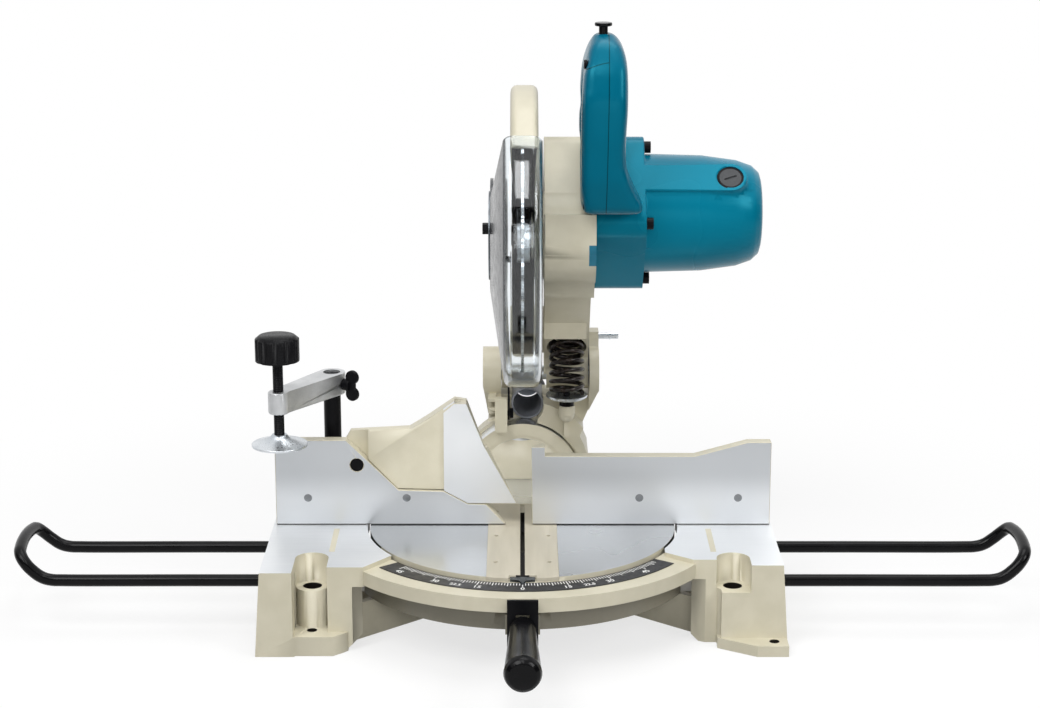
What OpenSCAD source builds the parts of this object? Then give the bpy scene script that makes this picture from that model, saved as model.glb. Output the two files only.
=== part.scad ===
// Compound mitre saw for a 255 mm blade: base, turntable, bevel arm and chopping head,
// with a clamp and two holders
// Millimetres, +X to the right, +Y to the back, +Z up. The origin is on the turntable's axis at the bench.
// The head is drawn raised, as it rests on its spring.

/* [Base] */
// Height of the table top above the bench
table_h = 79; // [76:0.5:84]
// Half width of the base at the table top
wing_half = 232.5; // [230:0.5:240]
// How far the base sides lean out at the bench
wing_draft = 5.5; // [3:0.5:7]
// Front edge of the left wing, ahead of the fence face
left_front = 130; // [128:1:134]
// Front edge of the right wing, ahead of the fence face
right_front = 110; // [108:1:114]
// How far the inner part of each wing is set back from its front edge
wing_setback = 15; // [12:1:17]
// Rear edge of the wings, behind the fence face
wing_rear = 44; // [43:1:48]
// Thickness of the casting's walls
wall = 7; // [5:0.5:8]
// Thickness of the wings' table plate
table_t = 10; // [8:0.5:12]
// Outer radius of the scale ring
ring_r = 182; // [178:1:186]
// Thickness of the scale ring
ring_t = 13; // [10:0.5:14]
// Depth of the scale ring's top below the table
ring_drop = 4; // [3:0.5:5]
// Diameter of the bench bolt holes
bench_hole_d = 9; // [7:0.5:10]
// Diameter of the vise post and its sockets
post_d = 16; // [14:0.5:17]
// Diameter of the holder rods
holder_d = 11.2; // [9:0.2:12]

/* [Turntable] */
// Radius of the turntable
turntable_r = 142; // [140:1:144]
// Gap between the turntable and the base
well_gap = 2.5; // [1.5:0.5:3.5]
// Thickness of the turntable plate
turntable_t = 13; // [10:0.5:14]
// Half width of the strip with the kerf inserts
insert_half = 32; // [28:1:36]
// Thickness of the kerf inserts
insert_t = 4; // [3:0.5:5]
// Half width of the slot between the kerf inserts
kerf_half = 1.9; // [1.6:0.1:2.4]
// Length of the mitre grip
grip_len = 108; // [95:1:115]
// Diameter of the mitre grip at its end
grip_d = 32; // [28:1:36]
// Radius of the bevel boss at the back of the turntable
boss_r = 57; // [54:0.5:58]
// Front face of the bevel boss
boss_y = 139; // [137:0.5:141]
// Thickness of the bevel boss
boss_t = 23; // [18:1:24]

/* [Fence] */
// Thickness of the fences
fence_t = 12; // [10:0.5:13]
// Height of the left fence above the table
fence_left_h = 82.5; // [78:0.5:84]
// Height of the right fence above the table
fence_right_h = 67; // [62:0.5:69]
// Gap between the sub-fence and the fence below it
fence_gap = 0.6; // [0.4:0.1:1.2]

/* [Head] */
// Chop shaft, behind the fence face
pivot_back = 175; // [173:0.5:178]
// Chop shaft, above the table
pivot_up = 100; // [98:0.5:103]
// Distance from the chop shaft to the spindle
arm_len = 214; // [212:0.5:217]
// Slope of that line when the blade is fully down
cut_slope = 4.2; // [3.4:0.1:5]
// Travel of the head in degrees
chop = 47.3; // [46:0.1:48]
// Diameter of the chop shaft
shaft_d = 14; // [12:0.5:15]
// Diameter of the blade
blade_d = 255; // [245:1:256]
// Thickness of the blade
blade_t = 2.4; // [2:0.1:2.8]
// Room from the blade's teeth to the outside of its case
case_room = 10.5; // [9.5:0.5:11]
// Room from the blade's teeth to the outside of the lower guard
guard_room = 13.5; // [13:0.5:14.5]
// Half width of the lower guard
guard_half = 17.6; // [17:0.1:18]
// Number of teeth on the spindle gear
gear_teeth = 39; // [39]
// Number of teeth on the armature pinion
pinion_teeth = 9; // [9]
// Half side of the square motor flange
flange_half = 56; // [54:0.5:57]
// Radius of the motor housing at the flange
motor_r = 55.5; // [53:0.5:56]
// Length of the motor housing past its flange
motor_len = 109; // [105:1:115]
// Width of the main handle
handle_w = 44.5; // [42:0.5:46]

/* [Vise] */
// Height of the vise arm above the table
vise_up = 119.5; // [112:0.5:122]
// Thickness of the vise arm
vise_arm_t = 20.5; // [16:0.5:21]
// Diameter of the vise knob
knob_d = 40; // [34:1:42]
// Diameter of the vise pad
pad_d = 51; // [44:1:52]
// Diameter of the vise spindle
spindle_d = 9.4; // [8:0.2:10]

/* [Hidden] */
$fn = 96;

// Clearances: of a running fit, of a seated fit, and round things that only pass
run_fit = 0.05;
seat_fit = 0.02;
pass_gap = 0.3;

// Paint and material colours
beige = [0.81, 0.78, 0.69];
teal = [0, 0.45, 0.55];
bare = [0.78, 0.81, 0.83];
steel = [0.62, 0.64, 0.66];
black = [0.06, 0.06, 0.07];
zinc = [0.66, 0.72, 0.78];

// Base
ring_top = table_h - ring_drop;
ring_bot = ring_top - ring_t;
well_r = turntable_r + well_gap;
low_well_r = 168;
grip_swing_r = ring_r + 8.5;
bar_z = 10;
bar_top = 26;
hub_bore_d = 16;
notch_x = 189;
notch_y = -91;
notch_r = 15;
notch_floor = 53;
left_foot_h = 18;
right_foot_h = 10;
rear_foot_y = wing_rear + 22;
bench_left_x = -188.5;
bench_right_x = 225;
bench_left_y = -111;
bench_right_y = -118;
bench_rear_y = wing_rear + 12;
post_x = 178;
post_y = 31;
post_floor = 34;
holder_z = table_h - 30;
holder_back = 23;
holder_front = -67;
holder_in = 193;
holder_bend = 427;
holder_out = 459.5;
lock_d = 6;
lock_x = 212;

// Turntable
skirt_r = 160;
skirt_z = 38;
skirt_top = ring_bot - 2;
grip_z = 52;
grip_y = -ring_r - 9;
stud_d = 10;
bevel_d = 20;

// Head: the spindle raised and down, the motor beside it, and the sense of the raised frame
pivot_y = pivot_back;
pivot_z = table_h + pivot_up;
raised_slope = cut_slope + chop;
spin_y = pivot_y - arm_len * cos(raised_slope);
spin_z = pivot_z + arm_len * sin(raised_slope);
cut_y = pivot_y - arm_len * cos(cut_slope);
cut_z = pivot_z + arm_len * sin(cut_slope);
motor_dy = 17.5;
motor_dz = 38.4;
mot_cut_y = cut_y + motor_dy;
mot_cut_z = cut_z + motor_dz;
gear_dist = norm([motor_dy, motor_dz]);
gear_mod = 2 * gear_dist / (gear_teeth + pinion_teeth);
house_x = 20;
flange_x = 67;
motor_x = 113;
motor_end = motor_x + motor_len;
blade_r = blade_d / 2;
case_r = blade_r + case_room;
guard_r = blade_r + guard_room;
case_left = -11;
case_right = 14;
case_t = 3;
case_round = 6;
guard_round = 9;
case_from = 46;
case_to = 250;
guard_from = -100;
guard_to = 50;
guard_t = 2.2;
neck_r = 40;
cover_r = 55;
cover_x = -29.5;
cover_bolt_r = 33;
cover_bolt_a = 157;
brush_x = 191;
brush_r = 12.2;
bolt_ring = 62;
step = 0.4;
handle_x = 53;
handle_seam = handle_x + handle_w / 2;
handle_end = handle_x + handle_w;
handle_flare = 11;
handle_out = handle_end + handle_flare;
button_x = handle_seam - 3.4;

// Guard link: its screw on the arm and its pin on the guard
link_y = pivot_y - 25;
link_z = pivot_z - 35;
link_pin_r = 22;
link_pin_a = 258;
link_pin_y = spin_y + link_pin_r * cos(link_pin_a);
link_pin_z = spin_z + link_pin_r * sin(link_pin_a);
link_len = 212.2;
link_slope = 122.36;
link_x = -14.4;
link_t = 2;

// Return spring: upright on its seat, bent over to the cavity in the raised head
spring_x = 43.5;
spring_y = pivot_y - 45;
spring_z = pivot_z - 9;
spring_wire = 4.2;
spring_r = 15.9;
spring_curls = 7;
curl_steps = 8;
cavity_r = spring_r + spring_wire / 2 + 1.5;
cavity_top = cut_z + 13;
bend_r = (pivot_y - spring_y + (pivot_z - spring_z) / tan(chop / 2));
bend_len = bend_r * chop * PI / 180;

// Vise
vise_post_x = -post_x;
vise_x = -221;
vise_y = -36;
vise_z = table_h + vise_up;
knob_z = vise_z + 49.5;
pad_z = vise_z - 28;
thumb_a = -30;

// Cylinders along each axis, boxes between corners, and outlines extruded along X or Y
module xrod(x0, x1, y, z, r) translate([x0, y, z]) rotate([0, 90, 0]) cylinder(r = r, h = x1 - x0);
module yrod(y0, y1, x, z, r) translate([x, y0, z]) rotate([-90, 0, 0]) cylinder(r = r, h = y1 - y0);
module zrod(z0, z1, x, y, r) translate([x, y, z0]) cylinder(r = r, h = z1 - z0);
module box(x0, x1, y0, y1, z0, z1) translate([x0, y0, z0]) cube([x1 - x0, y1 - y0, z1 - z0]);
module along_x(x0, x1) translate([x0, 0, 0]) rotate([90, 0, 90]) linear_extrude(x1 - x0) children();
module along_y(y0, y1) translate([0, y1, 0]) rotate([90, 0, 0]) linear_extrude(y1 - y0) children();
module both_sides() {
  children();
  mirror([1, 0, 0]) children();
}

// Turns a piece drawn at the bottom of the stroke up to the raised rest
module raised() translate([0, pivot_y, pivot_z]) rotate([-chop, 0, 0])
  translate([0, -pivot_y, -pivot_z]) children();

// A ring about the raised spindle: outline of radius and x, swept between two angles
// above the front horizontal
module about_spindle(from, to) translate([0, spin_y, spin_z]) rotate([0, 90, 0]) rotate([0, 0, -90 - to])
  rotate_extrude(angle = to - from) children();

// Tube of round section along a list of points
function unit(v) = v / norm(v);
function tangent(p, i) = i == 0 ? unit(p[1] - p[0])
  : i == len(p) - 1 ? unit(p[i] - p[i - 1])
  : unit(unit(p[i + 1] - p[i]) + unit(p[i] - p[i - 1]));
function square_to(t, n) = unit(n - (n * t) * t);
function normals(p, n, i = 0) = i == len(p) ? []
  : let (m = square_to(tangent(p, i), n)) concat([m], normals(p, m, i + 1));
module tube(p, r, sides, n) {
  ns = normals(p, n);
  last = len(p) - 1;
  points = [for (i = [0 : last], k = [0 : sides - 1])
    p[i] + r * (cos(360 * k / sides) * ns[i] + sin(360 * k / sides) * cross(tangent(p, i), ns[i]))];
  walls = [for (i = [0 : last - 1], k = [0 : sides - 1], half = [0, 1])
    let (a = i * sides + k, b = i * sides + (k + 1) % sides)
    half == 0 ? [a, a + sides, b] : [b, a + sides, b + sides]];
  ends = [for (k = [1 : sides - 2], e = [0, 1])
    e == 0 ? [0, k, k + 1] : [last * sides, last * sides + k + 1, last * sides + k]];
  polyhedron(points = points, faces = concat(walls, ends));
}

// Involute spur gear outline with thinned teeth, one tooth centred on +X
function involute(r, t) = r * [cos(t) + t * PI / 180 * sin(t), sin(t) - t * PI / 180 * cos(t)];
function roll_to(base, r) = sqrt(max(0, r * r / (base * base) - 1)) * 180 / PI;
function turn(v, a) = [v.x * cos(a) - v.y * sin(a), v.x * sin(a) + v.y * cos(a)];
module gear_outline(teeth) {
  pitch_r = gear_mod * teeth / 2;
  base_r = pitch_r * cos(20);
  root_r = pitch_r - 1.25 * gear_mod;
  tip_r = pitch_r + 0.85 * gear_mod;
  at_pitch = involute(base_r, roll_to(base_r, pitch_r));
  half_tooth = 90 / teeth - 0.12 / pitch_r * 180 / PI + atan2(at_pitch.y, at_pitch.x);
  flank = [for (s = [0 : 3]) turn(involute(base_r, roll_to(base_r, max(base_r, root_r)
    + (tip_r - max(base_r, root_r)) * s / 3)), -half_tooth)];
  foot = turn([root_r, 0], -half_tooth);
  tooth = concat([foot], flank, [for (s = [3 : -1 : 0]) [flank[s].x, -flank[s].y]], [[foot.x, -foot.y]]);
  polygon([for (k = [0 : teeth - 1], q = tooth) turn(q, 360 * k / teeth)]);
}

// Base

module wing(front, block_in, inner_x, slant) {
  inner = front - wing_setback;
  difference() {
    linear_extrude(table_h) polygon([[inner_x, slant - inner], [inner_x + 24, -inner], [block_in, -inner],
      [block_in, -front], [wing_half + wing_draft, -front], [wing_half + wing_draft, wing_rear],
      [post_x + 14, wing_rear], [turntable_r + 1, 15], [inner_x, 15]]);
    translate([wing_half + wing_draft, 0, 0]) rotate([0, -atan(wing_draft / table_h), 0])
      box(0, 60, -300, 300, -10, 200);
    box(100, wing_half - wall, wall - inner, wing_rear - wall, -1, table_h - table_t);
  }
}

module scale_ring() intersection() {
  zrod(ring_bot, ring_top, 0, 0, ring_r);
  box(-ring_r, ring_r, -ring_r, -4, 0, table_h);
}

// Upright wall between two points of the plan, under the skirt of the turntable
module web(from, to) translate([from.x, from.y, step]) rotate([0, 0, atan2(to.y - from.y, to.x - from.x)])
  box(0, norm(to - from), -wall / 2, wall / 2, 0, skirt_z - 4);

module wing_bosses() {
  zrod(0, notch_floor, notch_x, notch_y, notch_r);
  zrod(post_floor - 6, table_h, post_x, post_y, post_d / 2 + 5);
  for (y = [holder_back, holder_front]) xrod(holder_in, wing_half, y, holder_z, holder_d / 2 + 4.4);
  box(holder_in - 3, holder_in + 3, holder_front - 12, holder_back + 12, holder_z - 13, table_h - 1);
  box(post_x + 2, wing_half, wing_rear - wall, rear_foot_y, 0, right_foot_h);
}

module wing_bores() {
  zrod(-1, notch_floor + 1, notch_x, notch_y, post_d / 2 + 0.6);
  zrod(post_floor, table_h + 1, post_x, post_y, post_d / 2 + run_fit);
  for (y = [holder_back, holder_front])
    xrod(holder_in - 4, wing_half + 40, y, holder_z, holder_d / 2 + run_fit);
  yrod(holder_back, wing_rear + 1, lock_x, holder_z, lock_d / 2 + seat_fit);
  yrod(post_y, wing_rear + 1, post_x, table_h - 17, lock_d / 2 + seat_fit);
  for (x = [post_x - 11, lock_x + 4]) {
    zrod(table_h - 40, table_h + 1, x, fence_t / 2, 4 + pass_gap);
  }
}

module base_casting() color(beige) difference() {
  union() {
    difference() {
      union() {
        mirror([1, 0, 0]) wing(left_front, notch_x + notch_r - 1, 118, 31);
        wing(right_front, notch_x - notch_r + 4, 129, 19);
        scale_ring();
        both_sides() box(notch_x - notch_r - 5, notch_x + notch_r + 5, notch_y - 4,
          notch_y + notch_r + 5, step, table_h - step);
      }
      zrod(ring_bot, table_h + 1, 0, 0, well_r);
      zrod(-1, ring_bot, 0, 0, low_well_r);
      translate([0, 0, -1]) rotate([0, 0, -143]) rotate_extrude(angle = 113)
        square([grip_swing_r, ring_bot - 0.5]);
      along_y(-200, -30) polygon([[-160, -1], [-95, ring_bot - 6], [95, ring_bot - 6], [160, -1]]);
      mirror([1, 0, 0]) box(notch_x - notch_r, notch_x + notch_r, -200, notch_y, left_foot_h,
        table_h + 1);
      box(notch_x - notch_r, notch_x + notch_r, -200, notch_y, notch_floor, table_h + 1);
      both_sides() zrod(notch_floor, table_h + 1, notch_x, notch_y, notch_r);
    }
    both_sides() wing_bosses();
    box(-wing_half - 1, wing_half + 1, -24, 24, bar_z, bar_top - 4);
    zrod(bar_z, bar_top, 0, 0, 34);
    mirror([1, 0, 0]) linear_extrude(left_foot_h) polygon([[notch_x + notch_r, notch_y],
      [notch_x + notch_r, 2 - left_front], [notch_x - 20, 2 - left_front], [notch_x - 28, 9 - left_front],
      [notch_x - 33, 14.5 - left_front], [notch_x - 33, notch_y]]);
    mirror([1, 0, 0]) web([164, -98], [84, -26]);
    web([175, -84], [92, -15]);
    linear_extrude(right_foot_h) polygon([[notch_x - 14, 8 - right_front],
      [notch_x - 14, 1 - right_front], [notch_x + 20, -left_front],
      [wing_half + wing_draft - 1, -left_front], [wing_half + wing_draft - 1, 8 - right_front]]);
  }
  zrod(-1, table_h, 0, 0, hub_bore_d / 2 + run_fit);
  both_sides() wing_bores();
  for (y = [bench_left_y, bench_rear_y]) zrod(-1, left_foot_h + 1, bench_left_x, y, bench_hole_d / 2);
  for (y = [bench_right_y, bench_rear_y]) zrod(-1, left_foot_h + 1, bench_right_x, y, bench_hole_d / 2);
}

// The foot of each fence stands on the wing; past the wing it clears the turntable
module fence_relief() box(-well_r - 2, well_r + 2, -1, 60, table_h - 1, table_h + 0.5);

// Holes from below, tapped for the fence bolts
module fence_taps(side) for (x = [post_x - 11, lock_x + 4])
  zrod(table_h - 1, table_h + 22, side * x, fence_t / 2, 4 + seat_fit);

left_top = table_h + fence_left_h;
left_step = table_h + 33;
left_low = table_h + 20;
sub_pivot_x = -154;
sub_pivot_z = table_h + 58.5;

module fence_left() color(bare) difference() {
  along_y(0, fence_t) polygon([[-230, table_h], [-230, left_top], [-164, left_top],
    [-164 + left_top - left_step - 1, left_step + 1], [-73.5, left_step], [-51, left_low + 0.6],
    [-34, left_low], [-15, table_h]]);
  fence_relief();
  fence_taps(-1);
  translate([-9, 0, 0]) rotate([0, 0, 53]) box(0, 100, -100, 100, 0, 400);
  yrod(-1, fence_t + 1, sub_pivot_x, sub_pivot_z, 4 + seat_fit);
  yrod(-1, 4, sub_pivot_x, sub_pivot_z, 6 + pass_gap);
}

module fence_right() color(bare) difference() {
  right_top = table_h + fence_right_h;
  along_y(0, fence_t) polygon([[9, table_h], [8, right_top + 9], [21, right_top + 9], [21, right_top],
    [160, right_top], [209, right_top + 13.5], [231, right_top + 13.5], [231, table_h]]);
  fence_relief();
  fence_taps(1);
  translate([4, 0, 0]) rotate([0, 0, -45]) box(-100, 0, -100, 100, 0, 400);
}

module fence_bolts() color(steel) both_sides() for (x = [post_x - 11, lock_x + 4]) {
  zrod(table_h - table_t, table_h + 20, x, fence_t / 2, 4);
  translate([x, fence_t / 2, table_h - table_t - 5.5]) cylinder(r = 7.5, h = 5.5, $fn = 6);
}

module scale_plate() color(black) rotate([0, 0, -140.5]) rotate_extrude(angle = 105.5)
  translate([well_r + 0.5, ring_top]) square([20.5, 0.8]);

module lock_screws() color(black) both_sides() {
  yrod(holder_back + holder_d / 2 + 0.1, wing_rear, lock_x, holder_z, lock_d / 2);
  yrod(wing_rear, wing_rear + 5, lock_x, holder_z, 5.5);
  yrod(post_y + post_d / 2 + 0.1, wing_rear, post_x, table_h - 17, lock_d / 2);
  yrod(wing_rear, wing_rear + 5, post_x, table_h - 17, 5.5);
}

sub_back = fence_t + 0.4;
sub_t = 7;

module sub_fence_screw() color(black) {
  yrod(0.1, 4, sub_pivot_x, sub_pivot_z, 6);
  yrod(4, sub_back + sub_t + pass_gap, sub_pivot_x, sub_pivot_z, 4);
  yrod(sub_back + sub_t + pass_gap, sub_back + sub_t + 3, sub_pivot_x, sub_pivot_z, 7);
}

// A sloping inner end, with the back cut away for a turned blade
module sub_fence() color(beige) difference() {
  g = fence_gap;
  union() {
    along_y(sub_back, sub_back + sub_t) polygon([[-170, left_step + 12], [-170, left_top - 12],
      [-160, left_top + 6], [-105, left_top + 9], [-89, left_top + 19], [-63, left_top + 37],
      [-52, left_top + 35], [-36, left_top - 5], [-14, left_step + 2], [-60, left_step + 2]]);
    along_y(3, sub_back) polygon([[sub_pivot_x + 10.8, left_top + 6.9], [-105, left_top + 9],
      [-89, left_top + 19], [-63, left_top + 37], [-60, left_step + g],
      [-117 + g, left_step + 1 + 2 * g], [sub_pivot_x + 10.8, sub_pivot_z + 3.6 + 2 * g]]);
    along_y(0, sub_back) polygon([[-73, left_top + 26.5], [-63, left_top + 35], [-52, left_top + 35],
      [-36, left_top - 5.5], [-6, left_low + 1.5], [-51, left_low + 0.8 + g], [-73, left_step + g]]);
  }
  yrod(-1, 40, sub_pivot_x, sub_pivot_z, 4 + run_fit);
  translate([-4, 0, 0]) rotate([0, 0, 52]) box(0, 120, -100, 100, 0, 400);
  translate([-26, 0, left_top - 10]) rotate([0, 0, 52]) box(0, 120, -100, 100, 0, 100);
}

// Turntable

module skirt_sector(r_in, r_out, z0, z1) translate([0, 0, z0]) rotate([0, 0, -154])
  rotate_extrude(angle = 128) translate([r_in, 0]) square([r_out - r_in, z1 - z0]);

module turntable() color(beige) difference() {
  union() {
    zrod(table_h - turntable_t, table_h, 0, 0, turntable_r);
    difference() {
      zrod(skirt_top - 6, table_h - 1, 0, 0, turntable_r - 7);
      zrod(skirt_top - 7, table_h - 1, 0, 0, turntable_r - 17);
    }
    skirt_sector(turntable_r - 16, skirt_r, skirt_top - 6, skirt_top);
    skirt_sector(skirt_r - 8, skirt_r, skirt_z, skirt_top - 1);
    zrod(bar_top, table_h - 1, 0, 0, 28);
    box(-15, 15, -ring_r - 2, 14 - turntable_r, grip_z - 9, skirt_top);
    box(-46, 46, 100, boss_y + boss_t, 28, table_h - 8);
    yrod(boss_y, boss_y + boss_t, 0, table_h, boss_r);
  }
  box(-insert_half, insert_half, -turntable_r - 1, 62, table_h - insert_t, table_h + 1);
  along_y(-128, 48) polygon([[-5, table_h - 17], [-5, table_h], [5, table_h], [24, table_h - 17]]);
  zrod(0, table_h - 20, 0, 0, hub_bore_d / 2 + seat_fit);
  yrod(-200, -150, 0, grip_z, stud_d / 2 + run_fit);
  yrod(boss_y + 4, 200, 0, table_h, bevel_d / 2 + seat_fit);
  translate([0, boss_y, table_h]) rotate([90, 0, 0]) rotate_extrude() translate([boss_r - 15, -1])
    square([3, 2]);
}

module kerf_insert(side, inner) difference() {
  x0 = min(side * insert_half, inner);
  x1 = max(side * insert_half, inner);
  intersection() {
    box(x0 + 0.1, x1 - 0.1, -turntable_r, 61.5, table_h - insert_t, table_h - 0.2);
    zrod(0, table_h, 0, 0, turntable_r - 0.5);
  }
  for (y = [-100, -30, 40]) translate([side * (insert_half - 8), y, 0]) zrod(0, table_h + 1, 0, 0, 2);
  if (side > 0) along_y(-200, 80)
    polygon([[inner, table_h - 0.8], [inner - 3, table_h - 6], [inner + 6, table_h - 6]]);
  box(-12.3, 12.3, -200, -turntable_r + 8.3, 0, table_h + 1);
}

module kerf_insert_left() color(beige) kerf_insert(-1, -kerf_half);
module kerf_insert_right() color(beige) kerf_insert(1, kerf_half);

module mitre_pointer() color(bare) {
  box(-11, 11, -turntable_r + 1, -turntable_r + 7.6, table_h - insert_t, table_h - 1.6);
  translate([0, 0, ring_top + 1.2]) linear_extrude(1.2) polygon([[-11, -turntable_r + 7.6],
    [-11, -turntable_r + 0.6], [-3, -turntable_r - 1.5], [0, -turntable_r - 9],
    [3, -turntable_r - 1.5], [11, -turntable_r + 0.6], [11, -turntable_r + 7.6]]);
}

module turntable_bolt() color(steel) {
  zrod(bar_z, table_h - 20, 0, 0, hub_bore_d / 2);
  translate([0, 0, bar_z - 7]) cylinder(r = 13, h = 7, $fn = 6);
}

lever_y = boss_y + boss_t + 42;
// A stud pressed into the boss from behind, with its nut outside the bevel lever
module bevel_bolt() color(steel) {
  yrod(boss_y + 4, lever_y + 12, 0, table_h, bevel_d / 2);
  yrod(lever_y + 12.3, lever_y + 18, 0, table_h, bevel_d / 2 + 5);
  yrod(lever_y + 11, lever_y + 14, 0, table_h, bevel_d / 2 - 2);
}

detent_y = 14 - turntable_r;
detent_z = skirt_z - 4;
module detent_lever() color(black) difference() {
  union() {
    box(-13.5, 13.5, -ring_r - 7, -ring_r - 4, detent_z, ring_top + 1);
    box(-13.5, 13.5, -ring_r - 5, detent_y, detent_z - 1.5, detent_z + 1.5);
    xrod(-13.5, 13.5, detent_y, detent_z, 3);
  }
  yrod(-ring_r - 9, -ring_r - 2, 0, grip_z, stud_d / 2 + 1);
  box(-stud_d / 2 - 1, stud_d / 2 + 1, -ring_r - 9, -ring_r - 2, grip_z, grip_z + 10.5);
}

module mitre_grip() color(black) translate([0, grip_y, grip_z]) rotate([90, 0, 0]) {
  rotate_extrude() polygon([[0, 0], [10, 0], [11.5, 3], [11.5, 12], [grip_d / 2 - 0.5, grip_len - 12],
    [grip_d / 2, grip_len - 8], [grip_d / 2 - 1.5, grip_len - 3], [grip_d / 2 - 5, grip_len],
      [0, grip_len]]);
  translate([0, 0, -34]) cylinder(d = stud_d, h = 35);
}

// Bevel arm

arm_y = boss_y + boss_t + pass_gap;
cheek_r = 26;
cheek_left = [-39, -21];
cheek_right = [66, 76];
tube_x = 5;
tube_z = table_h + 73;
tube_r = 16;
pin_y = pivot_y + 15;
pin_z = pivot_z + 34;

module cheek(x) along_x(x[0], x[1]) {
  translate([pivot_y, pivot_z]) circle(cheek_r);
  polygon([[pivot_y - cheek_r, pivot_z], [pivot_y - 11, table_h + 61], [arm_y + 42, table_h + 61],
    [arm_y + 42, pivot_z - 14], [pivot_y + cheek_r, pivot_z]]);
}

// Flank that wraps round the right of the boss, under the spring
module flank() intersection() {
  difference() {
    yrod(boss_y + 5, arm_y + 20, 0, table_h, boss_r + 22);
    yrod(boss_y, arm_y + 21, 0, table_h, boss_r + 1.2);
  }
  along_y(boss_y, arm_y + 40) polygon([[0, table_h], [100, table_h + 22], [64, table_h + 76],
    [20, table_h + 76]]);
}

// Outline of the arm from the front: two cheeks that draw in to a waist above the hinge
module arm_front() polygon([[-50.5, table_h], [-44, table_h + 33], [-31.5, table_h + 46],
  [-34, table_h + 61], [-39, pivot_z - 7], [-39, pivot_z + 60], [cheek_right[1], pivot_z + 60],
  [cheek_right[1], pivot_z - 13], [57, table_h + 43], [65.5, table_h + 23], [65.5, table_h]]);

module arm() color(beige) difference() {
  union() {
    yrod(arm_y, arm_y + 22, 0, table_h, boss_r + 3);
    intersection() {
      along_y(boss_y - 1, arm_y + 70) arm_front();
      union() {
        along_y(arm_y + 6, arm_y + 42) polygon([[-60, table_h], [-60, pivot_z - 21], [90, pivot_z - 21],
          [90, table_h + 30], [52, table_h]]);
        cheek([cheek_left[0] - 1, cheek_left[1]]);
        cheek([cheek_right[0], cheek_right[1] + 1]);
        flank();
      }
    }
    along_x(cheek_right[0], cheek_right[1]) polygon([[pin_y - 12, pivot_z], [pin_y - 9, pin_z + 6],
      [pin_y + 9, pin_z + 6], [pin_y + 12, pivot_z]]);
    zrod(pivot_z - 30, spring_z - 12, spring_x, spring_y, 8);
    translate([spring_x, spring_y, pivot_z - 30]) rotate_extrude()
      polygon([[0, -7.6], [3.4, -7.6], [5.8, -5.6], [7.3, -3], [7.9, 0.6], [0, 0.6]]);
    box(spring_x - 2.5, spring_x + 2.5, spring_y, arm_y + 8, pivot_z - 54, pivot_z - 31);
    box(spring_x - 7, spring_x + 7, spring_y, arm_y + 8, pivot_z - 31, pivot_z - 24);
    box(-27, link_x - 0.4, link_y - 21, boss_y - 1.4, link_z - 14, link_z + 20);
    box(-26.6, link_x - 0.8, boss_y - 2, link_y + 7, link_z - 8, link_z + 16);
    box(-26.2, link_x - 6, link_y + 6, arm_y + 8, link_z - 4.5, link_z + 9);
    for (z = [-2, 9, 18]) box(-33.5, -26, link_y - 18, arm_y + 8, link_z + z - 1.3, link_z + z + 1.3);
  }
  yrod(arm_y - 1, arm_y + 60, 0, table_h, bevel_d / 2 + run_fit);
  yrod(arm_y + 30, arm_y + 60, 0, table_h, 24);
  xrod(-60, 100, pivot_y, pivot_z, shaft_d / 2 + seat_fit);
  box(cheek_left[1], cheek_right[0], boss_y, arm_y + 60, pivot_z - 21, pivot_z + 60);
  yrod(100, 260, tube_x, tube_z, tube_r + seat_fit);
  xrod(60, 100, pin_y, pin_z, 3.2 + run_fit);
  xrod(-40, 0, link_y, link_z, 2.5 + seat_fit);
  zrod(pivot_z - 33, pivot_z, spring_x, spring_y, 3 + seat_fit);
}

module chop_shaft() color(steel) xrod(cheek_left[0] + 0.6, cheek_right[1] - 0.6, pivot_y, pivot_z,
  shaft_d / 2);

module spring_seat() color(zinc) translate([spring_x, spring_y, spring_z]) rotate_extrude()
  polygon([[3.1, -4.5], [17, -4.5], [20.2, -2.6], [20.2, -0.6], [18.8, -2.3], [3.1, -2.3]]);

module spring_bush() color(black) {
  zrod(spring_z - 12, spring_z - 4.5, spring_x, spring_y, 7.2);
  zrod(pivot_z - 32.5, spring_z - 12, spring_x, spring_y, 3);
  zrod(spring_z - 4.5, spring_z + 6, spring_x, spring_y, 3);
}

// Axis of the spring at a distance along it, and the direction across it
bend_sweep = bend_len;
function spring_turn(s) = min(s, bend_sweep) / bend_r * 180 / PI;
function spring_axis(s) = [spring_x,
  spring_y + bend_r * (1 - cos(spring_turn(s))) + max(0, s - bend_sweep) * sin(chop),
  spring_z + bend_r * sin(spring_turn(s)) + max(0, s - bend_sweep) * cos(chop)];
function spring_out(s) = [0, cos(spring_turn(s)), -sin(spring_turn(s))];
function spring_point(s, a) = spring_axis(s) + spring_r * (cos(a) * [1, 0, 0] + sin(a) * spring_out(s));
spring_len = bend_len + 17;
spring_steps = spring_curls * curl_steps;
spring_low = spring_wire / 2 - 1.9;
spring_path = [for (i = [0 : spring_steps])
  spring_point(spring_low + (spring_len - spring_low) * i / spring_steps, 360 * i / curl_steps)];
spring_start = spring_path[0] - spring_wire * unit(spring_path[1] - spring_path[0]);
spring_last = spring_path[spring_steps] - spring_path[spring_steps - 1];
spring_end = spring_path[spring_steps] + spring_wire * unit(spring_last);
spring_gap = min([for (i = [0 : spring_steps - curl_steps], j = [i + curl_steps / 2 : spring_steps])
  norm(spring_path[j] - spring_path[i])]) - spring_wire;
echo(least_gap_between_spring_curls = spring_gap);

module return_spring() color([0.16, 0.12, 0.1])
  tube(concat([spring_start], spring_path, [spring_end]), spring_wire / 2, 6, [1, 0, 0]);

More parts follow.
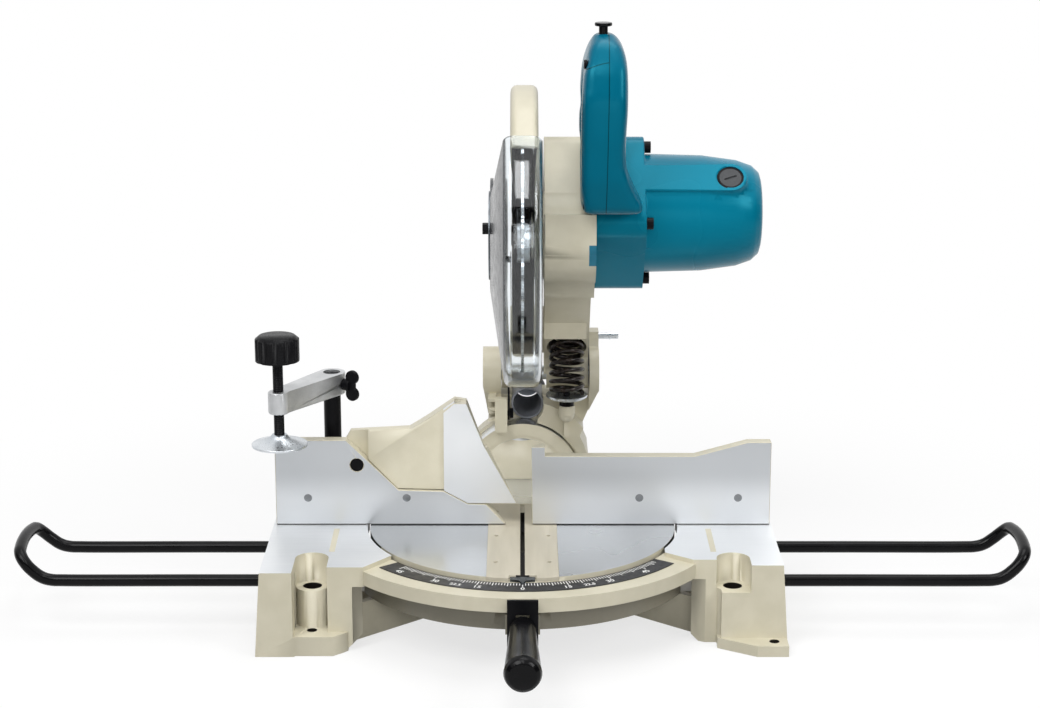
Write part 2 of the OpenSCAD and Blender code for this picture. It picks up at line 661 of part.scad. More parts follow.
module dust_nozzle() color([0.45, 0.47, 0.5]) difference() {
  union() {
    yrod(arm_y - 5, 231, tube_x, tube_z, tube_r);
    yrod(arm_y + 42, arm_y + 46, tube_x, tube_z, tube_r + 3);
  }
  yrod(0, 300, tube_x, tube_z, tube_r - 2);
}

module link_screw() color(black) {
  xrod(-27, link_x + link_t + 0.1, link_y, link_z, 2.5);
  xrod(link_x + link_t + 0.1, link_x + link_t + 3.4, link_y, link_z, 5);
}

module guard_link() color(black) difference() {
  reach = link_len;
  translate([link_x, link_y, link_z]) rotate([link_slope, 0, 0]) difference() {
    union() {
      xrod(0, link_t, 0, 0, 7);
      xrod(0, link_t, reach, 0, 9.5);
      box(0, link_t, 0, reach, -6, 6);
    }
    xrod(-1, link_t + 1, 0, 0, 2.5 + run_fit);
    xrod(-1, link_t + 1, reach, 0, 5.5);
  }
}

module bevel_lever() color(black) difference() {
  union() {
    yrod(lever_y, lever_y + 12, 0, table_h, 18);
    translate([0, lever_y + 6, table_h]) rotate([0, 35, 0]) {
      box(0, 66, -4.5, 4.5, -6, 6);
      xrod(54, 92, 0, 0, 9);
    }
  }
  yrod(lever_y - 1, lever_y + 13, 0, table_h, bevel_d / 2 + run_fit);
}

module stopper_pin() color(zinc) {
  xrod(cheek_right[0] + 0.5, cheek_right[1] + 20, pin_y, pin_z, 3.2);
  xrod(cheek_right[1] + 10.6, cheek_right[1] + 12, pin_y, pin_z, 3.8);
}

// Head

module motor_square(grow) translate([mot_cut_y, mot_cut_z]) {
  square([2 * (flange_half + grow), 2 * (flange_half + grow) - 36], center = true);
  square([2 * (flange_half + grow) - 36, 2 * (flange_half + grow)], center = true);
  for (y = [-1, 1], z = [-1, 1])
    translate([y * (flange_half + grow - 18), z * (flange_half + grow - 18)]) circle(18);
}

// Beam from the gear housing back to the hinge
module beam() raised() difference() {
  union() {
    along_x(house_x + 3 * step, cheek_right[0] - 1) polygon([[cut_y + 40, pivot_z + 1],
      [pivot_y - 26, pivot_z + 1], [pivot_y - 10, pivot_z - 8], [pivot_y - 4, pivot_z + 15],
      [pivot_y - 20, pivot_z + 28], [pivot_y - 70, pivot_z + 52], [cut_y + 40, pivot_z + 78]]);
    xrod(house_x + 4, cheek_right[0] - 1 + step, pivot_y, pivot_z, 15.5);
    xrod(cheek_left[1] + 1 - step, -13 + step, pivot_y, pivot_z, 15.5);
    along_x(cheek_left[1] + 1 + step, house_x + 2) polygon([[pivot_y - 62, pivot_z + 8],
      [pivot_y - 24, pivot_z + 8], [pivot_y - 20, pivot_z + 28], [pivot_y - 56, pivot_z + 42]]);
    along_x(cheek_left[1] + 1, -13) polygon([[pivot_y - 30, pivot_z + 8], [pivot_y - 11, pivot_z - 8],
      [pivot_y, pivot_z + 14], [pivot_y - 22, pivot_z + 28]]);
    along_x(cheek_right[0] - 20, cheek_right[0] - 1 - step) polygon([[pivot_y - 12, pivot_z],
      [pivot_y + 12, pivot_z], [pivot_y + 8, pivot_z + 37], [pivot_y - 2, pivot_z + 37]]);
  }
  xrod(-60, 100, pivot_y, pivot_z, shaft_d / 2 + run_fit);
  zrod(pivot_z - 10, cavity_top, spring_x, spring_y, cavity_r);
}

// Chin of the casting below the gear case, above the spring
module chin() box(house_x + 2 * step, 62, spin_y + 74, spin_y + 110, spin_z - 118, spin_z - 40);

gear_block_top = spin_z + 28;
module gear_block(inset) intersection() {
  box(house_x - 1 + inset, flange_x + 1, spin_y - 44 + inset, spin_y + 60, spin_z - 60,
    gear_block_top - inset);
  raised() box(-10, 100, -300, 300, cut_z - 38 + inset, 600);
}

module gear_housing() color(beige) difference() {
  union() {
    intersection() {
      gear_block(0);
      box(house_x + step, flange_x - step, -300, 300, 0, 600);
    }
    raised() along_x(house_x, flange_x) {
      motor_square(0);
      translate([cut_y, cut_z]) circle(44);
    }
    raised() xrod(case_right, house_x + 1, cut_y, cut_z, neck_r);
    raised() xrod(8, case_right + 1, cut_y, cut_z, 21.9);
    beam();
    chin();
  }
  raised() {
    xrod(24, 46.1, cut_y, cut_z, 38.5);
    xrod(24, 46.1, mot_cut_y, mot_cut_z, 12.5);
    xrod(46, flange_x + 1, cut_y, cut_z, 40 + seat_fit);
    xrod(46, flange_x + 1, mot_cut_y, mot_cut_z, 46 + seat_fit);
    xrod(0, 30, cut_y, cut_z, 10);
    xrod(8.9, 20, cut_y, cut_z, 17.5 + seat_fit);
    for (a = [45 : 90 : 315])
      xrod(52, 120, mot_cut_y + bolt_ring * cos(a), mot_cut_z + bolt_ring * sin(a), 3 + seat_fit);
    zrod(pivot_z - 10, cavity_top, spring_x, spring_y, cavity_r);
  }
}

// Plate that closes the gear case and holds the inner bearings
module bearing_plate() color(steel) raised() difference() {
  along_x(46.1, 58) {
    translate([cut_y, cut_z]) circle(40);
    translate([mot_cut_y, mot_cut_z]) circle(46);
  }
  xrod(40, 70, cut_y, cut_z, 8.5);
  xrod(49, 70, cut_y, cut_z, 14 + seat_fit);
  xrod(40, 70, mot_cut_y, mot_cut_z, 7);
  xrod(48, 70, mot_cut_y, mot_cut_z, 16 + seat_fit);
  for (a = [45 : 90 : 315])
    xrod(52, 70, mot_cut_y + bolt_ring * cos(a), mot_cut_z + bolt_ring * sin(a), 3 + seat_fit);
}

// Points of an arc, for the rounded corners of an outline
function corner(c, r, from, to, n = 4) = [for (i = [0 : n]) let (a = from + (to - from) * i / n)
  c + r * [cos(a), sin(a)]];

module blade_case() color(beige) {
  q = case_round;
  about_spindle(case_from, case_to) polygon(concat([[36, case_left]],
    corner([case_r - q, case_left + q], q, -90, 0), corner([case_r - q, case_right - q], q, 0, 90),
    [[30, case_right], [30, case_right - case_t], [case_r - q, case_right - case_t],
      [case_r - 4, case_right - case_t - 2], [case_r - 4, case_left + case_t + 2],
      [case_r - q, case_left + case_t], [36, case_left + case_t]]));
  about_spindle(0, 360) translate([22, case_right - case_t - step]) square([neck_r - 23, case_t]);
}

module motor_shape() {
  along_x(flange_x, motor_x) motor_square(0);
  translate([motor_x - 0.5, mot_cut_y, mot_cut_z]) rotate([0, 90, 0]) rotate_extrude()
    polygon([[0, 0], [motor_r, 0], [motor_r - 1.5, motor_len * 0.5], [motor_r - 6, motor_len * 0.8],
      [motor_r - 11, motor_len * 0.93], [motor_r - 17, motor_len * 0.99], [motor_r - 22, motor_len + 0.5],
      [0, motor_len + 0.5]]);
  for (side = [-1, 1]) {
    y = mot_cut_y + side * (motor_r + 0.5);
    box(motor_x - 1, brush_x, min(y, mot_cut_y), max(y, mot_cut_y), mot_cut_z - 15, mot_cut_z + 15);
    yrod(min(y, mot_cut_y), max(y, mot_cut_y), brush_x, mot_cut_z, 15);
  }
}

module motor_housing() color(teal) difference() {
  raised() difference() {
    motor_shape();
    xrod(flange_x - 1, motor_x, mot_cut_y, mot_cut_z, 48);
    xrod(motor_x - 1, 162, mot_cut_y, mot_cut_z, 44 + seat_fit);
    xrod(160, motor_end - 18, mot_cut_y, mot_cut_z, 36);
    xrod(motor_end - 20, motor_end - 10, mot_cut_y, mot_cut_z, 11 + seat_fit);
    for (a = [45 : 90 : 315])
      xrod(50, 130, mot_cut_y + bolt_ring * cos(a), mot_cut_z + bolt_ring * sin(a), 3 + seat_fit);
    yrod(mot_cut_y - 80, mot_cut_y + 80, brush_x, mot_cut_z, brush_r + seat_fit);
  }
}

module housing_bolts() color(black) raised() for (a = [45 : 90 : 315]) {
  y = mot_cut_y + bolt_ring * cos(a);
  z = mot_cut_z + bolt_ring * sin(a);
  xrod(53, motor_x, y, z, 3);
  difference() {
    xrod(motor_x, motor_x + 6.5, y, z, 5.5);
    translate([motor_x + 3, y, z]) rotate([0, 90, 0]) cylinder(r = 3, h = 10, $fn = 6);
  }
}

module brush_caps() color(black) raised() for (side = [-1, 1])
  translate([brush_x, mot_cut_y + side * (motor_r - 9), mot_cut_z]) rotate([-90 * side, 0, 0])
    difference() {
    cylinder(r = brush_r, h = 8.5);
    rotate([0, 0, 20]) translate([-6, -1, 7]) cube([12, 2, 5]);
  }

module brushes() color([0.2, 0.2, 0.2]) raised() for (side = [-1, 1])
  translate([brush_x, mot_cut_y, mot_cut_z]) rotate([-90 * side, 0, 0]) {
    translate([-3, -5, 15.1]) cube([6, 10, 16]);
    translate([0, 0, 31.1]) cylinder(r = 5, h = motor_r - 9 - 31.1);
  }

module stator() color(steel) raised() difference() {
  xrod(92, 160, mot_cut_y, mot_cut_z, 44);
  xrod(90, 170, mot_cut_y, mot_cut_z, 23.6);
  for (side = [-1, 1]) box(90, 170, mot_cut_y + side * 32 - 9, mot_cut_y + side * 32 + 9,
    mot_cut_z - 14, mot_cut_z + 14);
}

module ring_x(x0, x1, y, z, r_in, r_out) difference() {
  xrod(x0, x1, y, z, r_out);
  xrod(x0 - 1, x1 + 1, y, z, r_in);
}

module bearings() color(steel) raised() {
  ring_x(9, 20, cut_y, cut_z, 7.5 + run_fit, 17.5);
  ring_x(49.1, 57, cut_y, cut_z, 6 + run_fit, 14);
  ring_x(48.1, 58, mot_cut_y, mot_cut_z, 6 + run_fit, 16);
  ring_x(motor_end - 17, motor_end - 10.1, mot_cut_y, mot_cut_z, 4 + run_fit, 11);
}

// Main handle: side outline, front outline and finger loop, in the raised frame
hand_y = spin_y - 42;
hand_z = spin_z + 83.5;
module handle_side() translate([hand_y, hand_z]) polygon([[-20, -52], [-30, -20], [-34, 20],
  [-33, 52], [-24, 80], [-8, 100], [14, 107], [36, 101], [56, 84], [70, 56], [75, 20], [75, -16],
  [60, -30], [16, -52]]);
module handle_loop() translate([hand_y, hand_z]) polygon([[4, -28], [0, 10], [-1, 46], [4, 64],
  [16, 74], [30, 72], [42, 58], [48, 30], [48, -4], [30, -14], [14, -28]]);
module handle_front() translate([handle_x, hand_z]) polygon([[2, -60], [0, -46], [0, 40], [1.6, 75],
  [5.6, 92], [9.5, 103], [12.5, 107], [25, 107], [30, 103.5], [handle_w - 9.8, 96],
  [handle_w - 6, 84], [handle_w - 5.2, 60], [handle_w - 5.6, 40], [handle_w - 6.9, 18],
  [handle_w - 7.4, 0], [handle_w - 6.2, -10], [handle_w - 2.8, -21],
  [handle_w + handle_flare * 0.3, -34.5], [handle_w + handle_flare * 0.9, -45],
  [handle_w + handle_flare, -48], [handle_w + handle_flare - 2, -60]]);

button_y = hand_y + 12;
button_top = hand_z + 116;
trigger_top = hand_z + 56;
module handle_body() difference() {
  union() {
    intersection() {
      along_x(handle_x, handle_out) handle_side();
      along_y(-200, 300) handle_front();
    }
    zrod(hand_z + 92, hand_z + 108.5, button_x, button_y, 9);
  }
  along_x(handle_x - 1, handle_out + 1) handle_loop();
  raised() along_x(handle_x - 1, handle_out + 1) motor_square(0);
  raised() xrod(handle_x - 1, flange_x, cut_y, cut_z, 44);
  gear_block(0);
  box(handle_seam - 9.6, handle_seam + 9.6, hand_y - 24, hand_y + 8, hand_z + 8, trigger_top + 5);
  box(handle_seam - 11, handle_seam + 11, hand_y - 22, hand_y - 3, hand_z - 36, hand_z + 9);
  zrod(hand_z + 60, hand_z + 120, button_x, button_y, 4 + run_fit);
  for (p = [[-14, -44], [-12, 82], [62, 40], [62, 0]])
    xrod(handle_x - 1, handle_seam + 11, hand_y + p.x, hand_z + p.y, 2.2 + seat_fit);
  for (p = [[-14, -44], [-12, 82], [62, 40], [62, 0]])
    xrod(handle_x - 1, handle_x + 4, hand_y + p.x, hand_z + p.y, 4.2);
  xrod(handle_seam - 13, handle_seam + 13, hand_y - 10, trigger_top, 2 + seat_fit);
  yrod(hand_y + 64, hand_y + 90, handle_seam, hand_z + 20, 8 + seat_fit);
}

module handle_left() color(teal) intersection() {
  handle_body();
  box(handle_x - 5, handle_seam - seat_fit / 2, -200, 300, 0, 700);
}

module handle_right() color(teal) intersection() {
  handle_body();
  box(handle_seam + seat_fit / 2, handle_out + 5, -200, 300, 0, 700);
}

module handle_screws() color(black) for (p = [[-14, -44], [-12, 82], [62, 40], [62, 0]]) {
  xrod(handle_x + 4, handle_seam + 10, hand_y + p.x, hand_z + p.y, 2.2);
  xrod(handle_x + 1, handle_x + 4, hand_y + p.x, hand_z + p.y, 4);
}

module switch_body() color(black)
  box(handle_seam - 10.8, handle_seam + 10.8, hand_y - 21.8, hand_y - 3.2, hand_z - 35.8, hand_z + 4);

module cord_inlet() color(black) difference() {
  yrod(hand_y + 66, hand_y + 81, handle_seam, hand_z + 20, 8);
  yrod(hand_y + 60, hand_y + 90, handle_seam, hand_z + 20, 4);
}

module trigger() color(black) difference() {
  union() {
    box(handle_seam - 9, handle_seam + 9, hand_y - 12, hand_y + 6, hand_z + 20, trigger_top - 4);
    xrod(handle_seam - 9, handle_seam + 9, hand_y - 10, trigger_top, 4);
    box(handle_seam - 9, handle_seam + 9, hand_y - 13, hand_y - 2, hand_z + 40, trigger_top);
    xrod(handle_seam - 12.5, handle_seam + 12.5, hand_y - 10, trigger_top, 2);
  }
  xrod(handle_seam - 20, handle_seam + 20, hand_y + 24, hand_z + 34, 20);
}

module lock_off_button() color(black) {
  zrod(hand_z + 78, button_top - 3, button_x, button_y, 4);
  zrod(button_top - 3, button_top, button_x, button_y, 7.8);
}

// Blade and drive

module saw_blade() color(bare) {
  teeth = 40;
  root = blade_r - 7;
  translate([-blade_t / 2, spin_y, spin_z]) rotate([0, 90, 0]) difference() {
    linear_extrude(blade_t) polygon([for (k = [0 : teeth - 1], q = [0, 1, 2])
      let (a = 360 * (k + [0, 0.45, 0.5][q]) / teeth, r = [root, root + 1, blade_r][q])
        r * [cos(a), -sin(a)]]);
    translate([0, 0, -1]) cylinder(r = 12.7 + seat_fit, h = 10);
  }
}

module inner_flange() color(steel) difference() {
  union() {
    xrod(blade_t / 2, 6.8, spin_y, spin_z, 25);
    xrod(-blade_t / 2 + 0.2, blade_t / 2, spin_y, spin_z, 12.7);
  }
  xrod(-20, 20, spin_y, spin_z, 7.5 + seat_fit);
}

module outer_flange() color(steel) difference() {
  xrod(-5, -blade_t / 2, spin_y, spin_z, 25);
  xrod(-20, 20, spin_y, spin_z, 4 + seat_fit);
}

module arbor_bolt() color(black) {
  xrod(-5, 14, spin_y, spin_z, 4);
  translate([-12, spin_y, spin_z]) rotate([0, 90, 0]) cylinder(r = 9.8, h = 7, $fn = 6);
}

module spindle() color(steel) difference() {
  union() {
    xrod(-blade_t / 2 + 0.2, 48.6, spin_y, spin_z, 7.5);
    xrod(48, 59, spin_y, spin_z, 6);
  }
  xrod(-20, 15, spin_y, spin_z, 4 + seat_fit);
}

module spindle_gear() color(steel) raised() translate([28, cut_y, cut_z]) rotate([0, 90, 0])
  difference() {
  linear_extrude(14) rotate(180 - atan2(motor_dy, motor_dz)) gear_outline(gear_teeth);
  translate([0, 0, -1]) cylinder(r = 7.5 + seat_fit, h = 20);
}

module armature() color(steel) raised() {
  translate([27, mot_cut_y, mot_cut_z]) rotate([0, 90, 0]) linear_extrude(16)
    rotate(-atan2(motor_dy, motor_dz)) rotate(180 / pinion_teeth) gear_outline(pinion_teeth);
  xrod(43, motor_end - 17, mot_cut_y, mot_cut_z, 6);
  xrod(motor_end - 18, motor_end - 10.5, mot_cut_y, mot_cut_z, 4);
  xrod(96, 156, mot_cut_y, mot_cut_z, 23);
  xrod(brush_x - 11, brush_x + 10, mot_cut_y, mot_cut_z, 15);
}

module fan() color(black) raised() difference() {
  union() {
    xrod(72, 75, mot_cut_y, mot_cut_z, 42);
    xrod(72, 84, mot_cut_y, mot_cut_z, 12);
    for (k = [0 : 11]) translate([0, mot_cut_y, mot_cut_z]) rotate([30 * k, 0, 0])
      box(74, 84, -1, 1, 11, 41);
  }
  xrod(60, 100, mot_cut_y, mot_cut_z, 6 + seat_fit);
}

// Clear guard: a dished left wall, a rim and a right wall, on a ring round the neck
// and a disc behind the cover
module lower_guard() color([0.7, 0.78, 0.82, 0.5]) difference() {
  lip = 0.3;
  q = guard_round;
  union() {
    about_spindle(guard_from, guard_to) polygon(concat([[neck_r + 4, guard_half - guard_t]],
      corner([guard_r - q, guard_half - q], q - guard_t, 90, 0), corner([guard_r - q,
        q - guard_half], q - guard_t, 0, -78), [[cover_r, cover_x + lip + guard_t],
        [cover_r - 8, cover_x + lip + guard_t], [cover_r - 8, cover_x + lip],
        [cover_r, cover_x + lip]], corner([guard_r - q, q - guard_half], q, -78, 0),
        corner([guard_r - q, guard_half - q], q, 0, 90), [[neck_r + 4, guard_half]]));
    about_spindle(0, 360) {
      translate([neck_r + run_fit, guard_half - guard_t - lip]) square([6, guard_t + 2 * lip]);
      translate([12, cover_x]) square([cover_r - 14, guard_t + 2 * lip]);
    }
    xrod(cover_x + 1, link_x + link_t + 0.6, link_pin_y, link_pin_z, 3);
  }
  translate([0, spin_y, spin_z]) rotate([cover_bolt_a, 0, 0])
    xrod(cover_x - 1, 0, cover_bolt_r, 0, 3 + seat_fit);
}

module centre_cover() color(zinc) difference() {
  xrod(cover_x - 1.6, cover_x, spin_y, spin_z, cover_r - 14);
  translate([0, spin_y, spin_z]) rotate([cover_bolt_a, 0, 0]) xrod(-60, 0, cover_bolt_r, 0, 3 + seat_fit);
}

module cover_bolt() color(black) translate([0, spin_y, spin_z]) rotate([cover_bolt_a, 0, 0]) {
  xrod(cover_x - 1.6, cover_x + guard_t, cover_bolt_r, 0, 3);
  translate([cover_x - 7, cover_bolt_r, 0]) rotate([0, 90, 0]) cylinder(r = 5.5, h = 5.4, $fn = 6);
}

// Vise

module vise_post() color(black) zrod(post_floor, vise_z + vise_arm_t - 2, vise_post_x, post_y,
  post_d / 2);

module vise_arm() color(bare) difference() {
  run = atan2(vise_y - post_y, vise_x - vise_post_x);
  reach = norm([vise_x - vise_post_x, vise_y - post_y]);
  translate([vise_post_x, post_y, vise_z]) rotate([0, 0, run]) difference() {
    union() {
      cylinder(r = 12.5, h = vise_arm_t);
      translate([reach, 0, 0]) cylinder(r = 9.5, h = vise_arm_t);
      linear_extrude(vise_arm_t) polygon([[0, -12.5], [reach, -8], [reach, 8], [0, 12.5]]);
    }
    translate([0, 0, -1]) cylinder(r = post_d / 2 + run_fit, h = 50);
    translate([reach, 0, -1]) cylinder(r = spindle_d / 2 + run_fit, h = 50);
  }
  translate([vise_post_x, post_y, vise_z + vise_arm_t / 2]) rotate([0, 0, thumb_a])
    xrod(0, 30, 0, 0, 3 + run_fit);
}

module vise_thumb_screw() color(black)
  translate([vise_post_x, post_y, vise_z + vise_arm_t / 2]) rotate([0, 0, thumb_a]) {
    xrod(post_d / 2 + 0.1, 18, 0, 0, 3);
    xrod(13, 21, 0, 0, 5.5);
    for (side = [-1, 1]) {
      box(18, 26, -2.2, 2.2, min(0, side * 9), max(0, side * 9));
      translate([23, -2.2, side * 8]) rotate([-90, 0, 0]) cylinder(r = 6.5, h = 4.4);
    }
  }

module vise_screw() color(black) translate([vise_x, vise_y, 0]) {
  zrod(pad_z + 3.4, knob_z + 1, 0, 0, spindle_d / 2);
  zrod(knob_z - 4, knob_z, 0, 0, 7.5);
  difference() {
    union() {
      zrod(knob_z, knob_z + 20, 0, 0, knob_d / 2);
      translate([0, 0, knob_z + 20]) cylinder(r1 = knob_d / 2, r2 = knob_d / 2 - 3.5, h = 3);
    }
    for (k = [0 : 11]) rotate([0, 0, 30 * k]) zrod(knob_z + 2, knob_z + 30, knob_d / 2 + 1.2, 0, 2.6);
  }
}

module vise_pad() color(zinc) translate([vise_x, vise_y, pad_z]) rotate_extrude()
  polygon([[0, 1], [spindle_d / 2 + 3, 1], [pad_d / 2 - 4, -2], [pad_d / 2, -2.6], [pad_d / 2, -0.6],
    [pad_d / 2 - 4, 0.2], [spindle_d / 2 + 5, 4.4], [spindle_d / 2 + 2, 8], [spindle_d / 2 + run_fit, 8],
    [spindle_d / 2 + run_fit, 3.2], [0, 3.2]]);

// Holders: a bent rod that slides in two bores of each wing

holder_half = [[holder_in, 0, 0], [holder_bend, 0, 0], [holder_bend + 10, 0.2, 2.6],
  [holder_bend + 19, 0.8, 9], [holder_bend + 26, 3, 16], [holder_bend + 30.5, 8, 21.5],
  [holder_out, 17, 24]];
holder_span = holder_back - holder_front;
holder_path = concat([for (p = holder_half) [p.x, holder_back - p.y, holder_z + p.z]],
  [for (i = [len(holder_half) - 1 : -1 : 0]) let (p = holder_half[i]) [p.x, holder_front + p.y,
    holder_z + p.z]]);

module holder_right() color(black) tube(holder_path, holder_d / 2, 16, [0, 0, 1]);
module holder_left() color(black) mirror([1, 0, 0]) tube(holder_path, holder_d / 2, 16, [0, 0, 1]);

base_casting();
fence_left();
fence_right();
fence_bolts();
scale_plate();
lock_screws();
sub_fence_screw();
sub_fence();
turntable();
kerf_insert_left();
kerf_insert_right();
mitre_pointer();
turntable_bolt();
bevel_bolt();
detent_lever();
mitre_grip();
arm();
chop_shaft();
spring_seat();
spring_bush();
return_spring();
dust_nozzle();
link_screw();
bevel_lever();
stopper_pin();
guard_link();
gear_housing();
bearing_plate();
blade_case();
motor_housing();
handle_left();
handle_right();
handle_screws();
housing_bolts();
brush_caps();
brushes();
stator();
bearings();
switch_body();
cord_inlet();
saw_blade();
inner_flange();
outer_flange();
arbor_bolt();
spindle();
spindle_gear();
armature();
fan();
lower_guard();
centre_cover();
cover_bolt();
trigger();
lock_off_button();
vise_post();
vise_arm();
vise_screw();
vise_pad();
vise_thumb_screw();
holder_left();
holder_right();
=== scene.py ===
import math

import bmesh
import bpy
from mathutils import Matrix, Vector


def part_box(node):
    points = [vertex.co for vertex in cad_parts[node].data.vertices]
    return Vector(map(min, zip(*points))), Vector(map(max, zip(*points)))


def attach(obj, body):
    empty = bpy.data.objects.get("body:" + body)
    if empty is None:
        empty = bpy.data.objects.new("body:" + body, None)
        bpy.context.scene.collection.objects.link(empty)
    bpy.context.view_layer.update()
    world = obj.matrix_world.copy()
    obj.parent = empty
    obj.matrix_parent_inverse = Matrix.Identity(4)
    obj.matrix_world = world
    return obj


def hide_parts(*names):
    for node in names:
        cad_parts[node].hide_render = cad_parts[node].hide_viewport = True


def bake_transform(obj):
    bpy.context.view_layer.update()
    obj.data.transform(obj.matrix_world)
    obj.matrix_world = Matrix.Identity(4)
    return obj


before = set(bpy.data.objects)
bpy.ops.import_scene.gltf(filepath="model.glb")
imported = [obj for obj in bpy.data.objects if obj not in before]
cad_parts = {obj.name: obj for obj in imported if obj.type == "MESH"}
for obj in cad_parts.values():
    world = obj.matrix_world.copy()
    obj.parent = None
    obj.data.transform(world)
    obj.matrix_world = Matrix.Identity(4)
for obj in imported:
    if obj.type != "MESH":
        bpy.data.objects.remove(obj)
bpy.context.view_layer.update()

# Studio: a pale floor that runs out of sight, a white surround, soft lamps from the front and above,
# and a camera in front of the saw, a little above it, as a catalogue picture is taken.


class Tone:
    """One socket of a shader, so that masks and mixes are written as plain sums."""

    def __init__(self, finish, socket):
        self.finish = finish
        self.socket = socket

    def work(self, operation, first, second=0.0):
        return self.finish.node("ShaderNodeMath", {"operation": operation}, {0: first, 1: second})

    def __add__(self, other):
        return self.work("ADD", self, other)

    def __radd__(self, other):
        return self.work("ADD", other, self)

    def __sub__(self, other):
        return self.work("SUBTRACT", self, other)

    def __rsub__(self, other):
        return self.work("SUBTRACT", other, self)

    def __mul__(self, other):
        return self.work("MULTIPLY", self, other)

    def __truediv__(self, other):
        return self.work("DIVIDE", self, other)

    def __mod__(self, other):
        return self.work("FLOORED_MODULO", self, other)

    def __pow__(self, other):
        return self.work("POWER", self, other)

    def __gt__(self, other):
        return self.work("GREATER_THAN", self, other)

    def __lt__(self, other):
        return self.work("LESS_THAN", self, other)

    def __abs__(self):
        return self.work("ABSOLUTE", self)


class Finish:
    """A surface finish: one material whose nodes are added by name, settings and sockets."""

    def __init__(self, name, tree=None):
        if tree is None:
            self.material = bpy.data.materials.new(name)
            self.material.use_nodes = True
            tree = self.material.node_tree
            self.shader = tree.nodes["Principled BSDF"]
            self.output = tree.nodes["Material Output"]
        self.tree = tree

    def node(self, kind, settings=None, sockets=None, output=0):
        made = self.tree.nodes.new(kind)
        for key, value in (settings or {}).items():
            setattr(made, key, value)
        self.feed(made, sockets or {})
        return Tone(self, made.outputs[output])

    def feed(self, made, sockets):
        for key, value in sockets.items():
            if isinstance(value, Tone):
                self.tree.links.new(value.socket, made.inputs[key])
            else:
                made.inputs[key].default_value = value

    def surface(self, **sockets):
        self.feed(self.shader, {key.replace("_", " "): value for key, value in sockets.items()})

    def place(self, output="Object"):
        return self.node("ShaderNodeTexCoord", output=output)

    def axes(self, output="Object"):
        split = self.node("ShaderNodeSeparateXYZ", {}, {0: self.place(output)})
        return [Tone(self, socket) for socket in split.socket.node.outputs]

    def grain(self, scale, detail=3.0, rough=0.5, stretch=(1, 1, 1)):
        spot = self.node("ShaderNodeMapping", {}, {"Vector": self.place(), "Scale": stretch})
        sockets = {"Vector": spot, "Scale": scale, "Detail": detail, "Roughness": rough}
        return self.node("ShaderNodeTexNoise", {}, sockets)

    def between(self, value, low, high, start=0.0, end=1.0):
        sockets = {"Value": value, "From Min": low, "From Max": high, "To Min": start, "To Max": end}
        return self.node("ShaderNodeMapRange", {"interpolation_type": "SMOOTHSTEP"}, sockets)

    def mix(self, factor, first, second):
        return self.node("ShaderNodeMix", {"data_type": "RGBA"}, {0: factor, 6: first, 7: second}, 2)

    def bump(self, height, strength, distance):
        sockets = {"Height": height, "Strength": strength, "Distance": distance}
        return self.node("ShaderNodeBump", {}, sockets)


def paint_code(red, green, blue):
    """A colour chart value, 0 to 255, as the shader's linear colour."""
    tones = [tone / 255 for tone in (red, green, blue)]
    return tuple(t / 12.92 if t <= 0.04045 else ((t + 0.055) / 1.055) ** 2.4 for t in tones) + (1.0,)


def distance(a, b):
    """How far out a spot lies, from its two steps away from an axis."""
    return (a * a + b * b) ** 0.5


def seen_plainly(finish):
    """1 for what the camera sees, by way of gloss and clear plastic too, and 0 for the light on the saw."""
    rays = finish.node("ShaderNodeLightPath").socket.node.outputs
    straight = Tone(finish, rays["Is Camera Ray"])
    return straight + Tone(finish, rays["Is Glossy Ray"]) + Tone(finish, rays["Is Transmission Ray"]) > 0.5


def alone(piece):
    """Leaves only this piece selected and active."""
    if bpy.context.object and bpy.context.object.mode != "OBJECT":
        bpy.ops.object.mode_set(mode="OBJECT")
    bpy.ops.object.select_all(action="DESELECT")
    piece.select_set(True)
    bpy.context.view_layer.objects.active = piece
    return piece


surround = bpy.data.worlds.new("studio_surround")
surround.use_nodes = True
bpy.context.scene.world = surround
air = Finish("studio_air", surround.node_tree)
seen = seen_plainly(air)
white = air.node("ShaderNodeBackground", {}, {"Color": (1, 1, 1, 1), "Strength": 1.0})
soft = air.node("ShaderNodeBackground", {}, {"Color": (1, 1, 1, 1), "Strength": 0.26})
both = air.node("ShaderNodeMixShader", {}, {0: seen, 1: soft, 2: white})
air.feed(surround.node_tree.nodes["World Output"], {"Surface": both})

bpy.ops.object.select_all(action="DESELECT")
bpy.ops.mesh.primitive_plane_add(size=14, location=(0, 0, -0.0002))
floor = bpy.context.object
floor.name = "studio_floor"
paper = Finish("floor_paper")
seen = seen_plainly(paper)
matt = paper.node("ShaderNodeBsdfDiffuse", {}, {"Color": (0.9, 0.9, 0.9, 1)})
dim = paper.node("ShaderNodeBsdfDiffuse", {}, {"Color": (0.3, 0.3, 0.3, 1)})
glow = paper.node("ShaderNodeEmission", {}, {"Color": (1, 1, 1, 1), "Strength": 1.0})
x, y, z = paper.axes()
whiter = paper.between(distance(x, y), 0.3, 0.8, 0.72, 1.0)
sheet = paper.node("ShaderNodeMixShader", {}, {0: whiter, 1: matt, 2: glow})
sheet = paper.node("ShaderNodeMixShader", {}, {0: seen, 1: dim, 2: sheet})
paper.feed(paper.output, {"Surface": sheet})
floor.data.materials.append(paper.material)

felt = Finish("flag_felt")
felt.surface(
    Base_Color=felt.mix(felt.grain(30, 3), (0.02, 0.02, 0.02, 1), (0.035, 0.035, 0.035, 1)),
    Roughness=0.9,
)
